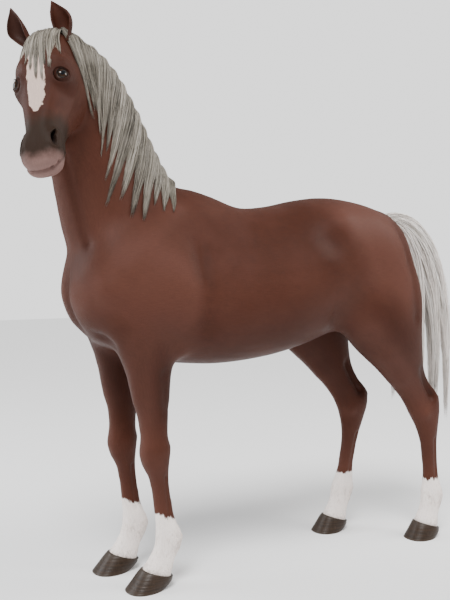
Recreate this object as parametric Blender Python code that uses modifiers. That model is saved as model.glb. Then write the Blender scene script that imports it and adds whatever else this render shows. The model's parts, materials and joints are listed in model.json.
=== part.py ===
"""A standing flaxen-chestnut horse at life size, as a still model in separate solids.

The horse faces -Y, its left side is +X and it stands on Z = 0. Every part of the body is a loft
between named stations. A station is an oval between a front (or upper) point and a back (or lower)
point, with a half width to either side, a squareness and a taper. The lofts are melted into one
body, muscles and hollows are raised on it, and thin cuts then part it into its nodes.
"""

import bpy
import bmesh
import numpy as np
from mathutils import Matrix, Vector
from mathutils.bvhtree import BVHTree

# Driving dimensions, in metres and degrees.
WITHERS_HEIGHT = 1.60
HEAD_LENGTH = 0.60
EYE_RADIUS = 0.0260
EAR_LENGTH = 0.174
EAR_THICKNESS = 0.007
GAP = 0.0003
HAIR_GAP = 0.0008

# How the flesh and the hair are meshed: voxels, rounds of smoothing and triangles. FINE_SHARE is the
# thinning weight of the head and lower legs, and LEAST_FACING the sharpest corner that a cutter grows at.
VOXEL = 0.0095
MELT_ROUNDS = 60
SETTLE_ROUNDS = 5
BODY_TRIANGLES = 3900
FINE_SHARE = 0.9
HAIR_VOXEL = 0.008
HAIR_ROUNDS = 2
MANE_TRIANGLES = 560
FORELOCK_TRIANGLES = 235
TAIL_TRIANGLES = 720
LEAST_FACING = 0.5

SCALE = WITHERS_HEIGHT / 1.60
LEFT = np.array((1.0, 0.0, 0.0))

# The head hangs from the poll, turned to the horse's left and a little rolled.
POLL = np.array((0.092, -0.950, 2.142)) * SCALE
DOWN_FACE = np.array((0.500, -0.180, -0.845))
HEAD_LEFT = np.array((0.600, 0.775, 0.200))

COAT_COLOUR = (0.165, 0.052, 0.028, 1.0)
HAIR_COLOUR = (0.56, 0.53, 0.48, 1.0)
HOOF_COLOUR = (0.105, 0.080, 0.056, 1.0)
EYE_COLOUR = (0.020, 0.012, 0.008, 1.0)


def unit(vector):
    return vector / np.linalg.norm(vector)


DOWN_FACE = unit(DOWN_FACE)
HEAD_LEFT = unit(HEAD_LEFT - DOWN_FACE * (HEAD_LEFT @ DOWN_FACE))
OUT_OF_FACE = np.cross(DOWN_FACE, HEAD_LEFT)


def on_head(along, out, left=0.0):
    """The point that far down the face from the poll, out of the face, and to the head's left."""
    place = DOWN_FACE * along + OUT_OF_FACE * out + HEAD_LEFT * left
    return POLL + place * HEAD_LENGTH


def upright(y, top, bottom, width, square=2.2, taper=0.0):
    """A trunk station: an upright oval across the body at y."""
    return (0, y, top), (0, y, bottom), LEFT, width, square, taper


def slanted(front, back, width, square=2.1, taper=0.0, turn=0.0):
    """A neck station between a point on the crest and one on the throat, its sides turned with the head."""
    return front, back, unit(LEFT * (1 - turn) + HEAD_LEFT * turn), width, square, taper


def skull(along, front, back, width, square=2.4, taper=0.0):
    """A head station, as shares of the head's length: bridge and jaw heights and half width."""
    return (on_head(along, front) / SCALE, on_head(along, back) / SCALE, HEAD_LEFT,
            width * HEAD_LENGTH / SCALE, square, taper)


def limb(x, front, back, width, square=2.1, taper=0.0):
    """A left leg's station between its front and back points, each given as (y, z)."""
    return (x, *front), (x, *back), LEFT, width, square, taper


# Each row holds y, top, bottom, half width, squareness and taper, from the breast to the buttocks.
TRUNK = [upright(*row) for row in (
    (-0.838, 1.250, 1.140, 0.060, 2.0),
    (-0.815, 1.330, 1.075, 0.135, 2.1),
    (-0.760, 1.430, 1.005, 0.205, 2.3, -0.05),
    (-0.640, 1.520, 0.935, 0.243, 2.3, -0.15),
    (-0.500, 1.575, 0.893, 0.256, 2.2, -0.28),
    (-0.350, 1.602, 0.872, 0.270, 2.1, -0.40),
    (-0.240, 1.572, 0.865, 0.287, 2.1, -0.36),
    (-0.100, 1.524, 0.870, 0.304, 2.1, -0.22),
    (0.040, 1.531, 0.888, 0.314, 2.15, -0.12),
    (0.180, 1.560, 0.920, 0.306, 2.2, -0.05),
    (0.320, 1.577, 0.965, 0.288, 2.3, 0.02),
    (0.440, 1.567, 1.010, 0.276, 2.3, 0.0),
    (0.560, 1.541, 1.040, 0.258, 2.25, -0.04),
    (0.660, 1.510, 1.070, 0.225, 2.15, -0.08),
    (0.730, 1.440, 1.130, 0.165, 2.05, -0.05),
    (0.765, 1.350, 1.210, 0.090, 2.0),
)]

# Crest point, throat point, half width, squareness, taper and turn, from the withers to the poll.
NECK = [slanted(*row) for row in (
    ((0, -0.300, 1.470), (0, -0.680, 1.060), 0.160),
    ((0, -0.390, 1.598), (0, -0.790, 1.235), 0.160, 2.2, -0.30),
    ((0, -0.452, 1.690), (0, -0.835, 1.380), 0.137, 2.2, -0.25),
    ((0.004, -0.508, 1.790), (0.010, -0.868, 1.530), 0.117, 2.15, -0.20, 0.05),
    ((0.012, -0.585, 1.925), (0.025, -0.895, 1.670), 0.103, 2.1, -0.15, 0.15),
    ((0.030, -0.672, 2.035), (0.050, -0.905, 1.790), 0.094, 2.1, -0.10, 0.35),
    ((0.055, -0.762, 2.098), (0.060, -0.915, 1.870), 0.085, 2.1, -0.05, 0.60),
    ((0.075, -0.862, 2.130), (0.060, -0.930, 1.950), 0.072, 2.1, 0.0, 0.90),
)]

# Shares of the head's length: along the face, bridge, jaw, half width; then squareness and taper.
HEAD = [skull(*row) for row in (
    (-0.085, -0.130, -0.215, 0.060, 2.0),
    (-0.050, -0.060, -0.250, 0.096, 2.1),
    (0.010, -0.012, -0.300, 0.122, 2.2),
    (0.090, 0.022, -0.365, 0.146, 2.3, 0.05),
    (0.175, 0.042, -0.430, 0.166, 2.5, 0.10),
    (0.255, 0.048, -0.465, 0.182, 2.7, 0.16),
    (0.335, 0.042, -0.468, 0.184, 2.7, 0.20),
    (0.420, 0.030, -0.438, 0.170, 2.6, 0.16),
    (0.520, 0.014, -0.372, 0.153, 2.5, 0.06),
    (0.635, 0.004, -0.302, 0.134, 2.4, 0.0),
    (0.740, -0.002, -0.256, 0.120, 2.3, -0.05),
    (0.825, -0.003, -0.234, 0.120, 2.3, -0.05),
    (0.900, -0.013, -0.226, 0.122, 2.3, 0.0),
    (0.958, -0.036, -0.206, 0.106, 2.3, 0.0),
    (0.990, -0.068, -0.182, 0.074, 2.2),
    (1.003, -0.100, -0.150, 0.036, 2.0),
)]

# Distance from the middle, front (y, z), back (y, z), half width, squareness, from shoulder to coronet.
FORELEG = [limb(*row) for row in (
    (0.120, (-0.680, 1.380), (-0.440, 1.420), 0.085),
    (0.148, (-0.775, 1.180), (-0.400, 1.220), 0.092),
    (0.154, (-0.750, 1.060), (-0.405, 1.050), 0.090),
    (0.150, (-0.700, 0.965), (-0.440, 0.940), 0.083),
    (0.143, (-0.658, 0.870), (-0.466, 0.855), 0.071),
    (0.136, (-0.634, 0.770), (-0.476, 0.760), 0.060),
    (0.130, (-0.612, 0.665), (-0.485, 0.660), 0.050),
    (0.127, (-0.606, 0.605), (-0.487, 0.605), 0.049),
    (0.125, (-0.610, 0.550), (-0.482, 0.552), 0.056, 2.5),
    (0.124, (-0.602, 0.495), (-0.486, 0.505), 0.050, 2.4),
    (0.123, (-0.576, 0.440), (-0.488, 0.440), 0.036),
    (0.123, (-0.562, 0.360), (-0.478, 0.360), 0.031),
    (0.123, (-0.552, 0.270), (-0.462, 0.270), 0.033),
    (0.123, (-0.549, 0.210), (-0.434, 0.195), 0.043, 2.3),
    (0.123, (-0.556, 0.165), (-0.443, 0.148), 0.039, 2.2),
    (0.123, (-0.576, 0.125), (-0.470, 0.100), 0.041, 2.2),
    (0.123, (-0.598, 0.092), (-0.485, 0.055), 0.053, 2.1),
    (0.123, (-0.622, 0.055), (-0.494, 0.010), 0.054, 2.1),
)]
HINDLEG = [limb(*row) for row in (
    (0.110, (0.300, 1.420), (0.700, 1.380), 0.120),
    (0.148, (0.270, 1.220), (0.762, 1.220), 0.122),
    (0.162, (0.285, 1.100), (0.774, 1.100), 0.114),
    (0.166, (0.335, 0.990), (0.772, 0.980), 0.099),
    (0.162, (0.425, 0.900), (0.782, 0.880), 0.083),
    (0.153, (0.548, 0.800), (0.800, 0.800), 0.066),
    (0.146, (0.645, 0.705), (0.838, 0.735), 0.053),
    (0.142, (0.698, 0.645), (0.897, 0.668), 0.047),
    (0.140, (0.732, 0.595), (0.908, 0.615), 0.050, 2.3),
    (0.140, (0.772, 0.530), (0.902, 0.530), 0.045),
    (0.140, (0.800, 0.460), (0.896, 0.460), 0.037),
    (0.140, (0.814, 0.370), (0.898, 0.370), 0.033),
    (0.140, (0.820, 0.270), (0.911, 0.270), 0.034),
    (0.140, (0.814, 0.210), (0.930, 0.195), 0.043, 2.3),
    (0.140, (0.802, 0.165), (0.912, 0.148), 0.039, 2.2),
    (0.140, (0.780, 0.125), (0.884, 0.100), 0.041, 2.2),
    (0.140, (0.757, 0.092), (0.866, 0.055), 0.052, 2.1),
    (0.140, (0.736, 0.055), (0.858, 0.010), 0.053, 2.1),
)]
# Coronet, wall and ground of the left hooves, in the same way.
FORE_HOOF = [limb(*row) for row in (
    (0.123, (-0.612, 0.0797), (-0.482, 0.0397), 0.0565, 2.1, 0.05),
    (0.124, (-0.628, 0.062), (-0.487, 0.026), 0.0600, 2.15, 0.08),
    (0.125, (-0.653, 0.030), (-0.504, 0.010), 0.0645, 2.2, 0.12),
    (0.125, (-0.678, 0.0), (-0.520, 0.0), 0.0685, 2.2, 0.14),
)]
HIND_HOOF = [limb(*row) for row in (
    (0.140, (0.744, 0.0797), (0.869, 0.0397), 0.0555, 2.1, 0.0),
    (0.141, (0.729, 0.062), (0.864, 0.026), 0.0585, 2.15, 0.03),
    (0.141, (0.705, 0.030), (0.848, 0.010), 0.0620, 2.2, 0.06),
    (0.141, (0.681, 0.0), (0.832, 0.0), 0.0650, 2.2, 0.08),
)]
HOOVES = {"fore": FORE_HOOF, "hind": HIND_HOOF}

# How far each leg is moved along Y, as (height, shift) from the ground up.
STANCE = {
    ("fore", "left"): ((0.0, 0.034), (0.2, 0.030), (0.55, 0.025), (1.0, 0.0)),
    ("fore", "right"): ((0.0, -0.018), (0.2, -0.020), (0.55, -0.020), (1.0, 0.0)),
    ("hind", "left"): ((0.0, 0.055), (0.2, 0.008), (1.3, 0.0)),
    ("hind", "right"): ((0.0, -0.277), (0.2, -0.308), (0.6, -0.200), (0.98, -0.168), (1.3, 0.0)),
}
LEGS = {"fore": FORELEG, "hind": HINDLEG}
SIDES = {"left": 1, "right": -1}

# Lines near which neighbouring lofts melt into each other: start, end and reach.
MELT = (
    ((0.0, -0.38, 1.60), (0.16, -0.72, 1.35), 0.11),
    ((0.16, -0.72, 1.35), (0.0, -0.84, 1.28), 0.09),
    ((0.09, -0.72, 1.00), (0.20, -0.42, 0.96), 0.08),
    ((0.20, -0.42, 0.96), (0.27, -0.40, 1.25), 0.10),
    ((0.20, -0.76, 1.05), (0.20, -0.72, 1.35), 0.09),
    ((0.27, 0.27, 1.05), (0.29, 0.45, 1.35), 0.12),
    ((0.12, 0.33, 0.98), (0.27, 0.27, 1.05), 0.08),
    ((0.10, 0.72, 1.10), (0.20, 0.73, 1.35), 0.09),
    ((0.03, 0.50, 1.05), (0.06, 0.74, 1.10), 0.05),
)
# Muscles (+) and hollows (-): start, end, reach and height, on the left of the standing horse.
RELIEF = (
    ((0.085, -0.81, 1.17), (0.085, -0.81, 1.17), 0.070, 0.006),     # breast muscle
    ((0.0, -0.86, 1.25), (0.0, -0.80, 1.02), 0.030, -0.012),        # groove down the breast
    ((0.21, -0.74, 1.19), (0.21, -0.74, 1.19), 0.050, 0.012),       # point of the shoulder
    ((0.245, -0.55, 1.12), (0.255, -0.50, 1.20), 0.110, 0.016),     # triceps
    ((0.13, -0.44, 1.50), (0.21, -0.66, 1.26), 0.035, 0.008),       # spine of the shoulder blade
    ((0.25, -0.38, 1.42), (0.25, -0.36, 1.05), 0.035, -0.012),      # behind the shoulder
    ((0.20, -0.445, 0.95), (0.20, -0.445, 0.95), 0.035, 0.012),     # point of the elbow
    ((0.06, -0.74, 1.05), (0.15, -0.72, 0.97), 0.025, -0.010),      # crease before the forearm
    ((0.10, -0.875, 1.68), (0.125, -0.80, 1.36), 0.020, -0.011),    # jugular groove
    ((0.03, -0.90, 1.66), (0.03, -0.85, 1.36), 0.030, 0.006),       # windpipe
    ((0.10, -0.70, 1.72), (0.15, -0.66, 1.45), 0.060, 0.006),       # side of the neck
    ((0.05, -0.52, 1.78), (0.06, -0.42, 1.62), 0.045, -0.006),      # below the crest
    ((0.27, 0.22, 1.38), (0.27, 0.22, 1.38), 0.065, -0.013),        # hollow of the flank
    ((0.24, 0.31, 1.475), (0.24, 0.31, 1.475), 0.045, 0.010),       # point of the hip
    ((0.20, 0.50, 1.45), (0.24, 0.55, 1.30), 0.100, 0.012),         # muscles of the croup
    ((0.21, 0.62, 1.46), (0.235, 0.685, 1.05), 0.028, -0.008),      # groove of the hamstrings
    ((0.09, 0.77, 1.32), (0.09, 0.77, 1.32), 0.045, 0.010),         # point of the buttock
    ((0.0, 0.40, 1.58), (0.0, 0.62, 1.53), 0.030, -0.006),          # furrow of the croup
    ((0.0, 0.80, 1.40), (0.0, 0.72, 1.05), 0.030, -0.016),          # cleft of the buttocks
    ((0.26, 0.36, 1.00), (0.26, 0.36, 1.00), 0.060, 0.008),         # stifle
    ((0.24, 0.24, 1.08), (0.20, 0.30, 0.97), 0.035, -0.008),        # fold of the flank
    ((0.30, -0.15, 1.15), (0.30, 0.12, 1.20), 0.120, 0.004),        # barrel
    ((0.185, -0.640, 0.88), (0.155, -0.625, 0.74), 0.035, 0.006),   # extensor of the forearm
    ((0.200, -0.520, 0.86), (0.170, -0.510, 0.72), 0.022, -0.005),  # groove of the forearm
    ((0.125, -0.470, 0.560), (0.125, -0.470, 0.560), 0.022, 0.009), # bone behind the knee
    ((0.125, -0.612, 0.535), (0.125, -0.612, 0.535), 0.028, 0.004), # front of the knee
    ((0.158, -0.508, 0.44), (0.158, -0.490, 0.26), 0.011, -0.006),  # outside of the fore tendon
    ((0.088, -0.508, 0.44), (0.088, -0.490, 0.26), 0.011, -0.006),  # inside of the fore tendon
    ((0.123, -0.428, 0.195), (0.123, -0.428, 0.195), 0.018, 0.005), # tuft of the fore fetlock
    ((0.215, 0.545, 0.86), (0.195, 0.640, 0.76), 0.040, 0.007),     # gaskin
    ((0.185, 0.745, 0.80), (0.180, 0.835, 0.67), 0.020, -0.014),    # outside, before the Achilles tendon
    ((0.105, 0.745, 0.80), (0.105, 0.835, 0.67), 0.020, -0.014),    # inside, before the Achilles tendon
    ((0.188, 0.800, 0.585), (0.188, 0.800, 0.585), 0.024, 0.006),   # outside of the hock
    ((0.092, 0.790, 0.575), (0.092, 0.790, 0.575), 0.026, 0.007),   # inside of the hock
    ((0.140, 0.900, 0.655), (0.140, 0.900, 0.655), 0.022, 0.007),   # point of the hock
    ((0.177, 0.868, 0.46), (0.177, 0.878, 0.27), 0.011, -0.006),    # outside of the hind tendon
    ((0.103, 0.868, 0.46), (0.103, 0.878, 0.27), 0.011, -0.006),    # inside of the hind tendon
    ((0.140, 0.935, 0.195), (0.140, 0.935, 0.195), 0.018, 0.005),   # tuft of the hind fetlock
)
# The same on the head, as shares of its length: (along, out, left) twice, reach and height.
HEAD_RELIEF = (
    ((0.315, -0.010, 0.150), (0.385, 0.006, 0.144), 0.034, 0.014),    # brow
    ((0.205, -0.030, 0.140), (0.205, -0.030, 0.140), 0.032, -0.014),  # hollow above the eye
    ((0.410, -0.118, 0.150), (0.220, -0.165, 0.155), 0.030, 0.012),   # cheek bone
    ((0.420, -0.170, 0.145), (0.620, -0.145, 0.108), 0.020, 0.012),   # facial crest
    ((0.330, -0.310, 0.140), (0.300, -0.360, 0.130), 0.130, 0.012),   # muscle of the jaw
    ((0.500, -0.075, 0.120), (0.700, -0.070, 0.095), 0.045, -0.012),  # below the nasal bone
    ((0.540, -0.260, 0.110), (0.760, -0.190, 0.095), 0.040, -0.010),  # before the jaw
    ((0.460, 0.020, 0.055), (0.800, 0.000, 0.042), 0.030, 0.006),     # edge of the nasal bone
    ((0.330, -0.470, 0.000), (0.780, -0.250, 0.000), 0.045, -0.030),  # between the jaws
    ((0.845, -0.075, 0.104), (0.935, -0.055, 0.080), 0.034, 0.016),   # wing of the nostril
    ((0.880, 0.000, 0.000), (0.880, 0.000, 0.000), 0.035, -0.008),    # between the nostrils
    ((0.985, -0.080, 0.000), (0.975, -0.080, 0.050), 0.036, 0.010),   # upper lip
    ((0.935, -0.215, 0.000), (0.930, -0.205, 0.030), 0.036, 0.018),   # chin
    ((0.840, -0.245, 0.000), (0.840, -0.245, 0.000), 0.040, -0.012),  # groove of the chin
    ((1.005, -0.148, 0.000), (0.960, -0.160, 0.085), 0.010, -0.010),  # front of the mouth
    ((0.960, -0.160, 0.085), (0.850, -0.188, 0.100), 0.010, -0.009),  # corner of the mouth
)
NOSTRIL = ((0.875, -0.085, 0.115), (0.925, -0.060, 0.090), 0.019, -0.034)
EYE_PLACE = (0.392, -0.036, 0.130)

# Ears: where they sit on the head, how they point, and half widths (m) and cup angles
# at shares of the length.
EAR_PLACE = {"left": (0.030, -0.125, 0.100), "right": (-0.006, -0.112, 0.122)}
EAR_AXIS = {"left": (-1.0, 0.45, -0.11), "right": (-1.0, 0.45, 0.40)}
EAR_FRONT = (0.35, 1.0, 0.25)
EAR_SHARES = (0.0, 0.20, 0.45, 0.70, 0.88, 1.0)
EAR_HALF_WIDTHS = (0.021, 0.029, 0.038, 0.031, 0.015, 0.002)
EAR_CUP_ANGLES = (150, 130, 105, 80, 60, 40)

# Cuts between the nodes, as outlines of the blocks that hold one node: (along, out) shares on the head,
# then (y, z) for the neck and (x, z) for the legs' left side, with the y range of the legs' blocks.
HEAD_BLOCK = ((-0.14, -0.19), (0.36, -0.50), (0.47, -0.43), (0.62, -0.42), (1.4, -0.42), (1.4, 0.40),
              (-0.14, 0.40))
FORELOCK_BLOCK = ((-0.6, -0.145), (1.2, -0.145), (1.2, 0.8), (-0.6, 0.8))
NECK_BLOCK = ((-0.33, 1.645), (-0.96, 1.235), (-1.7, 1.235), (-1.7, 2.8), (-0.33, 2.8))
FORELEG_BLOCK = ((0.045, 0.905), (0.045, 0.02), (0.6, 0.02), (0.6, 1.51))
HINDLEG_BLOCK = ((0.025, 1.01), (0.025, 0.02), (0.6, 0.02), (0.6, 1.67))
FORELEG_RANGE = (-1.20, -0.372)
HINDLEG_RANGE = (0.215, 1.20)
# How far the blocks reach past what they cut: across the head (share) and body, and round a hoof.
HEAD_BLOCK_HALF = 0.6
NECK_BLOCK_HALF = 0.8
HOOF_MARGIN = 0.06
HOOF_BLOCK_HALF = 0.1

# The mane's root line on the crest, from the poll to the withers, and how far its locks hang from it:
# share of the line, drop and reach towards the head.
CREST = ((0.074, -0.870, 2.150), (0.052, -0.762, 2.115), (0.030, -0.672, 2.055), (0.012, -0.582, 1.945),
         (0.004, -0.500, 1.808), (0.0, -0.442, 1.706), (0.0, -0.385, 1.622))
MANE_HANG = ((0.0, 0.33, -0.11), (0.12, 0.36, -0.06), (0.25, 0.40, 0.04), (0.42, 0.43, 0.12),
             (0.55, 0.46, 0.16), (0.64, 0.44, 0.14), (0.77, 0.32, 0.09), (1.0, 0.14, 0.07))
MANE_LOCKS = 13
MANE_SPREAD = 0.085
MANE_THICKNESS = 0.030
MANE_HALF_WIDTH = 0.045
# Forelock: across the head at the root, then where each lock ends, as shares of the head's length.
FORELOCK = ((-0.070, 0.300, -0.158), (-0.048, 0.390, -0.115), (-0.024, 0.370, -0.060), (0.002, 0.480, -0.005),
            (0.026, 0.390, 0.045), (0.050, 0.420, 0.105), (0.070, 0.290, 0.150))
FORELOCK_ROOT = (-0.080, -0.190)
FORELOCK_THICKNESS = 0.022
FORELOCK_HALF_WIDTH = 0.0185
# How deep a lock's underside lies in the skin, and how squarely the skin must face the lock's side.
LOCK_FOOT = 0.005
LEAST_DRAPE = 0.35
# Tail: the dock, the top of the arch, and where each lock ends (x, y, z).
DOCK = np.array((0.0, 0.685, 1.480))
TAIL_ARCH = np.array((0.0, 0.885, 1.405))
TAIL_TIPS = ((0.000, 1.085, 0.480), (-0.050, 1.050, 0.560), (0.050, 1.040, 0.530), (0.000, 0.990, 0.520),
             (-0.062, 0.970, 0.610), (0.062, 0.960, 0.580), (0.000, 0.910, 0.560), (-0.052, 0.885, 0.640),
             (0.048, 0.870, 0.600), (0.000, 0.830, 0.640), (-0.010, 0.765, 0.620))
TAIL_THICKNESS = 0.074


def through(knots, rows, places):
    """A cubic Hermite curve through the rows, each tangent taken from its neighbours."""
    slope = np.gradient(rows, knots, axis=0)
    i = np.clip(np.searchsorted(knots, places, side="right") - 1, 0, len(knots) - 2)
    span = (knots[i + 1] - knots[i])[:, None]
    u = (places - knots[i])[:, None] / span
    return ((1 + 2 * u) * (1 - u) ** 2 * rows[i] + u * (1 - u) ** 2 * span * slope[i]
            + u * u * (3 - 2 * u) * rows[i + 1] + u * u * (u - 1) * span * slope[i + 1])


def loft(stations, step=0.012, around=40, fewest=8):
    """Points, quads and end fans of the skin through the stations: at each, the middle plus the front
    half times a power of the cosine, plus the side times the half width times a power of the sine."""
    rows = np.array([(*front, *back, *side, *rest) for front, back, side, *rest in stations])
    rows[:, [*range(6), 9]] *= SCALE
    middles = (rows[:, 0:3] + rows[:, 3:6]) / 2
    knots = np.concatenate(([0], np.cumsum(np.linalg.norm(np.diff(middles, axis=0), axis=1))))
    count = max(fewest, round(knots[-1] / step))
    rows = through(knots, rows, np.linspace(0, knots[-1], count))
    middle, half = (rows[:, 0:3] + rows[:, 3:6]) / 2, (rows[:, 0:3] - rows[:, 3:6]) / 2
    side = rows[:, 6:9] / np.linalg.norm(rows[:, 6:9], axis=1)[:, None] * rows[:, 9:10]
    angle = np.linspace(0, 2 * np.pi, around, endpoint=False)
    power = 2 / rows[:, 10:11]
    rise = np.sign(np.cos(angle)) * np.abs(np.cos(angle)) ** power
    spread = np.sign(np.sin(angle)) * np.abs(np.sin(angle)) ** power * (1 + rows[:, 11:12] * np.cos(angle))
    rings = middle[:, None] + half[:, None] * rise[..., None] + side[:, None] * spread[..., None]
    points = np.concatenate((rings.reshape(-1, 3), middle[:1], middle[-1:]))
    j = np.arange(around)
    k = np.roll(j, -1)
    start = np.arange(count - 1)[:, None] * around
    quads = np.stack((start + j, start + k, start + around + k, start + around + j), -1).reshape(-1, 4)
    last = (count - 1) * around
    fans = np.concatenate((np.stack((np.full(around, count * around), k, j), -1),
                           np.stack((np.full(around, count * around + 1), last + j, last + k), -1)))
    return points, quads.tolist() + fans.tolist()


def triangulate(mesh):
    """Splits bent faces, so that every cut sees the same flat ones, and turns them all outwards."""
    shell = bmesh.new()
    shell.from_mesh(mesh)
    bmesh.ops.recalc_face_normals(shell, faces=shell.faces)
    bmesh.ops.triangulate(shell, faces=shell.faces)
    shell.to_mesh(mesh)
    shell.free()


def new_object(name, points, faces):
    mesh = bpy.data.meshes.new(name)
    mesh.from_pydata(np.asarray(points).tolist(), [], faces)
    triangulate(mesh)
    made = bpy.data.objects.new(name, mesh)
    bpy.context.scene.collection.objects.link(made)
    return made


def shift_at(height, fore_or_hind, side):
    heights, shifts = np.array(STANCE[fore_or_hind, side]).T
    return np.interp(height, heights, shifts)


def standing(stations, fore_or_hind, side):
    """The left leg's stations moved to this leg's stance, and mirrored for the right."""
    placed = []
    for front, back, across, *rest in stations:
        shift = shift_at((front[2] + back[2]) / 2, fore_or_hind, side)
        ends = [(SIDES[side] * x, y + shift, z) for x, y, z in (front, back)]
        placed.append((*ends, across, *rest))
    return placed


def neutral(points):
    """The points on a left half that stands square: mirrored, and without the legs' shifts."""
    moved = points / SCALE
    for (fore_or_hind, side) in STANCE:
        own = (moved[:, 0] * SIDES[side] > 0) & ((moved[:, 1] < -0.2) == (fore_or_hind == "fore"))
        own &= moved[:, 1] > -0.75
        moved[own, 1] -= shift_at(moved[own, 2], fore_or_hind, side)
    moved[:, 0] = np.abs(moved[:, 0])
    return moved


def head_shares(points):
    """Where the points lie on the head, as shares of its length along, out and to its side."""
    place = (points - POLL) / HEAD_LENGTH
    return np.stack((place @ DOWN_FACE, place @ OUT_OF_FACE, np.abs(place @ HEAD_LEFT)), 1)


def nearness(points, start, end, reach):
    """A bell over the distance to the line from start to end: one on it, near nothing at twice reach."""
    start, line = np.array(start, float), np.subtract(end, start)
    share = np.clip((points - start) @ line / max(line @ line, 1e-12), 0, 1)
    away = np.linalg.norm(points - start - share[:, None] * line, axis=1)
    return np.exp(-((away / reach) ** 2))


def smoothed(points, edges, weight, rounds):
    """Moves each point half its weight of the way to the middle of its neighbours, round by round."""
    ends = np.concatenate((edges, edges[:, ::-1]))
    count = np.bincount(ends[:, 0], minlength=len(points))
    for _ in range(rounds):
        total = np.stack([np.bincount(ends[:, 0], values, len(points)) for values in points[ends[:, 1]].T], 1)
        points = points + 0.5 * weight[:, None] * (total / np.maximum(count, 1)[:, None] - points)
    return points


def coordinates(mesh, normals=False):
    values = np.empty(len(mesh.vertices) * 3, np.float32)
    if normals:
        mesh.vertex_normals.foreach_get("vector", values)
    else:
        mesh.vertices.foreach_get("co", values)
    return values.reshape(-1, 3).astype(float)


def place_points(mesh, points):
    mesh.vertices.foreach_set("co", points.astype(np.float32).ravel())
    mesh.update()


def baked(source, name):
    """A new object whose mesh is the source with its modifiers applied. The source is removed."""
    graph = bpy.context.evaluated_depsgraph_get()
    mesh = bpy.data.meshes.new_from_object(source.evaluated_get(graph))
    bpy.data.objects.remove(source)
    made = bpy.data.objects.new(name, mesh)
    bpy.context.scene.collection.objects.link(made)
    return made


def joined(pieces, name):
    for piece in bpy.context.scene.objects:
        piece.select_set(piece in pieces)
    bpy.context.view_layer.objects.active = pieces[0]
    bpy.ops.object.join()
    pieces[0].name = name
    return pieces[0]


def melted(source, voxel):
    """The source's overlapping shells as one skin."""
    remesh = source.modifiers.new("melt together", "REMESH")
    remesh.mode = "VOXEL"
    remesh.voxel_size = voxel
    return baked(source, source.name)


def edge_ends(mesh):
    ends = np.empty(len(mesh.edges) * 2, np.int32)
    mesh.edges.foreach_get("vertices", ends)
    return ends.reshape(-1, 2)


def raise_relief(mesh):
    """Moves the skin along its normals by the muscles and hollows of the body and of the head."""
    points, normals = coordinates(mesh), coordinates(mesh, normals=True)
    body, head = neutral(points), head_shares(points)
    height = sum(nearness(body, start, end, reach) * rise for start, end, reach, rise in RELIEF) * SCALE
    face = sum(nearness(head, start, end, reach) * rise
               for start, end, reach, rise in (*HEAD_RELIEF, NOSTRIL))
    height += face * HEAD_LENGTH
    place_points(mesh, points + normals * height[:, None])


def make_body():
    """Trunk, neck, head and legs as one closed skin of about BODY_TRIANGLES triangles."""
    lofts = [new_object("trunk_loft", *loft(TRUNK)), new_object("neck_loft", *loft(NECK)),
             new_object("head_loft", *loft(HEAD))]
    for fore_or_hind, side in STANCE:
        stations = standing(LEGS[fore_or_hind], fore_or_hind, side)
        lofts.append(new_object(f"{fore_or_hind}leg_{side}_loft", *loft(stations)))
    body = melted(joined(lofts, "body"), VOXEL)
    points, edges = coordinates(body.data), edge_ends(body.data)
    points = smoothed(points, edges, np.ones(len(points)), SETTLE_ROUNDS)
    still = neutral(points)
    weight = np.max([nearness(still, *line) for line in MELT], axis=0)
    place_points(body.data, smoothed(points, edges, weight, MELT_ROUNDS))
    raise_relief(body.data)
    return body


def decimated(source, triangles, weights=None):
    """The source with about so many triangles; vertices of a lower weight keep more of theirs."""
    mesh = source.data
    mesh.calc_loop_triangles()
    thin = source.modifiers.new("thin out", "DECIMATE")
    thin.ratio = min(1.0, triangles / len(mesh.loop_triangles))
    if weights is not None:
        group = source.vertex_groups.new(name="thin out")
        for level in np.unique(weights):
            group.add(np.flatnonzero(weights == level).tolist(), float(level), "REPLACE")
        thin.vertex_group = group.name
    return baked(source, source.name)


def boolean(target, cutter, operation="DIFFERENCE"):
    """The target cut by, or kept inside, the cutter."""
    cut = target.modifiers.new(operation.lower(), "BOOLEAN")
    cut.operation = operation
    cut.solver = "EXACT"
    cut.object = cutter
    return baked(target, target.name)


def grown(source, name, distance=GAP):
    """A copy of the source, grown so that every face moves out by the distance or more."""
    mesh = source.data.copy()
    points, normals = coordinates(mesh), coordinates(mesh, normals=True)
    corners = np.array([corner for face in mesh.polygons for corner in face.vertices])
    faces = np.repeat(np.array([face.normal for face in mesh.polygons]),
                      [len(face.vertices) for face in mesh.polygons], axis=0)
    facing = np.ones(len(points))
    np.minimum.at(facing, corners, np.einsum("ij,ij->i", normals[corners], faces))
    place_points(mesh, points + normals * (distance / np.maximum(facing, LEAST_FACING))[:, None])
    made = bpy.data.objects.new(name, mesh)
    bpy.context.scene.collection.objects.link(made)
    return made


def largest_piece(source):
    """The source without any loose crumbs that a cut left behind."""
    shell = bmesh.new()
    shell.from_mesh(source.data)
    left = set(shell.faces)
    pieces = []
    while left:
        piece, border = set(), {left.pop()}
        while border:
            piece |= border
            border = {near for face in border for edge in face.edges if len(edge.link_faces) == 2
                      for near in edge.link_faces} - piece
        left -= piece
        pieces.append(piece)
    keep = max(pieces, key=len)
    bmesh.ops.delete(shell, geom=[face for face in shell.faces if face not in keep], context="FACES")
    shell.to_mesh(source.data)
    shell.free()
    return source


def prism(name, outline, place):
    """A block with the outline at both ends. place(a, b, end) gives a corner's point; ends are 0 and 1."""
    count = len(outline)
    points = [place(a, b, end) for end in (0, 1) for a, b in outline]
    walls = [(i, (i + 1) % count, (i + 1) % count + count, i + count) for i in range(count)]
    return new_object(name, points, [tuple(range(count)), tuple(range(count, 2 * count)), *walls])


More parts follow.
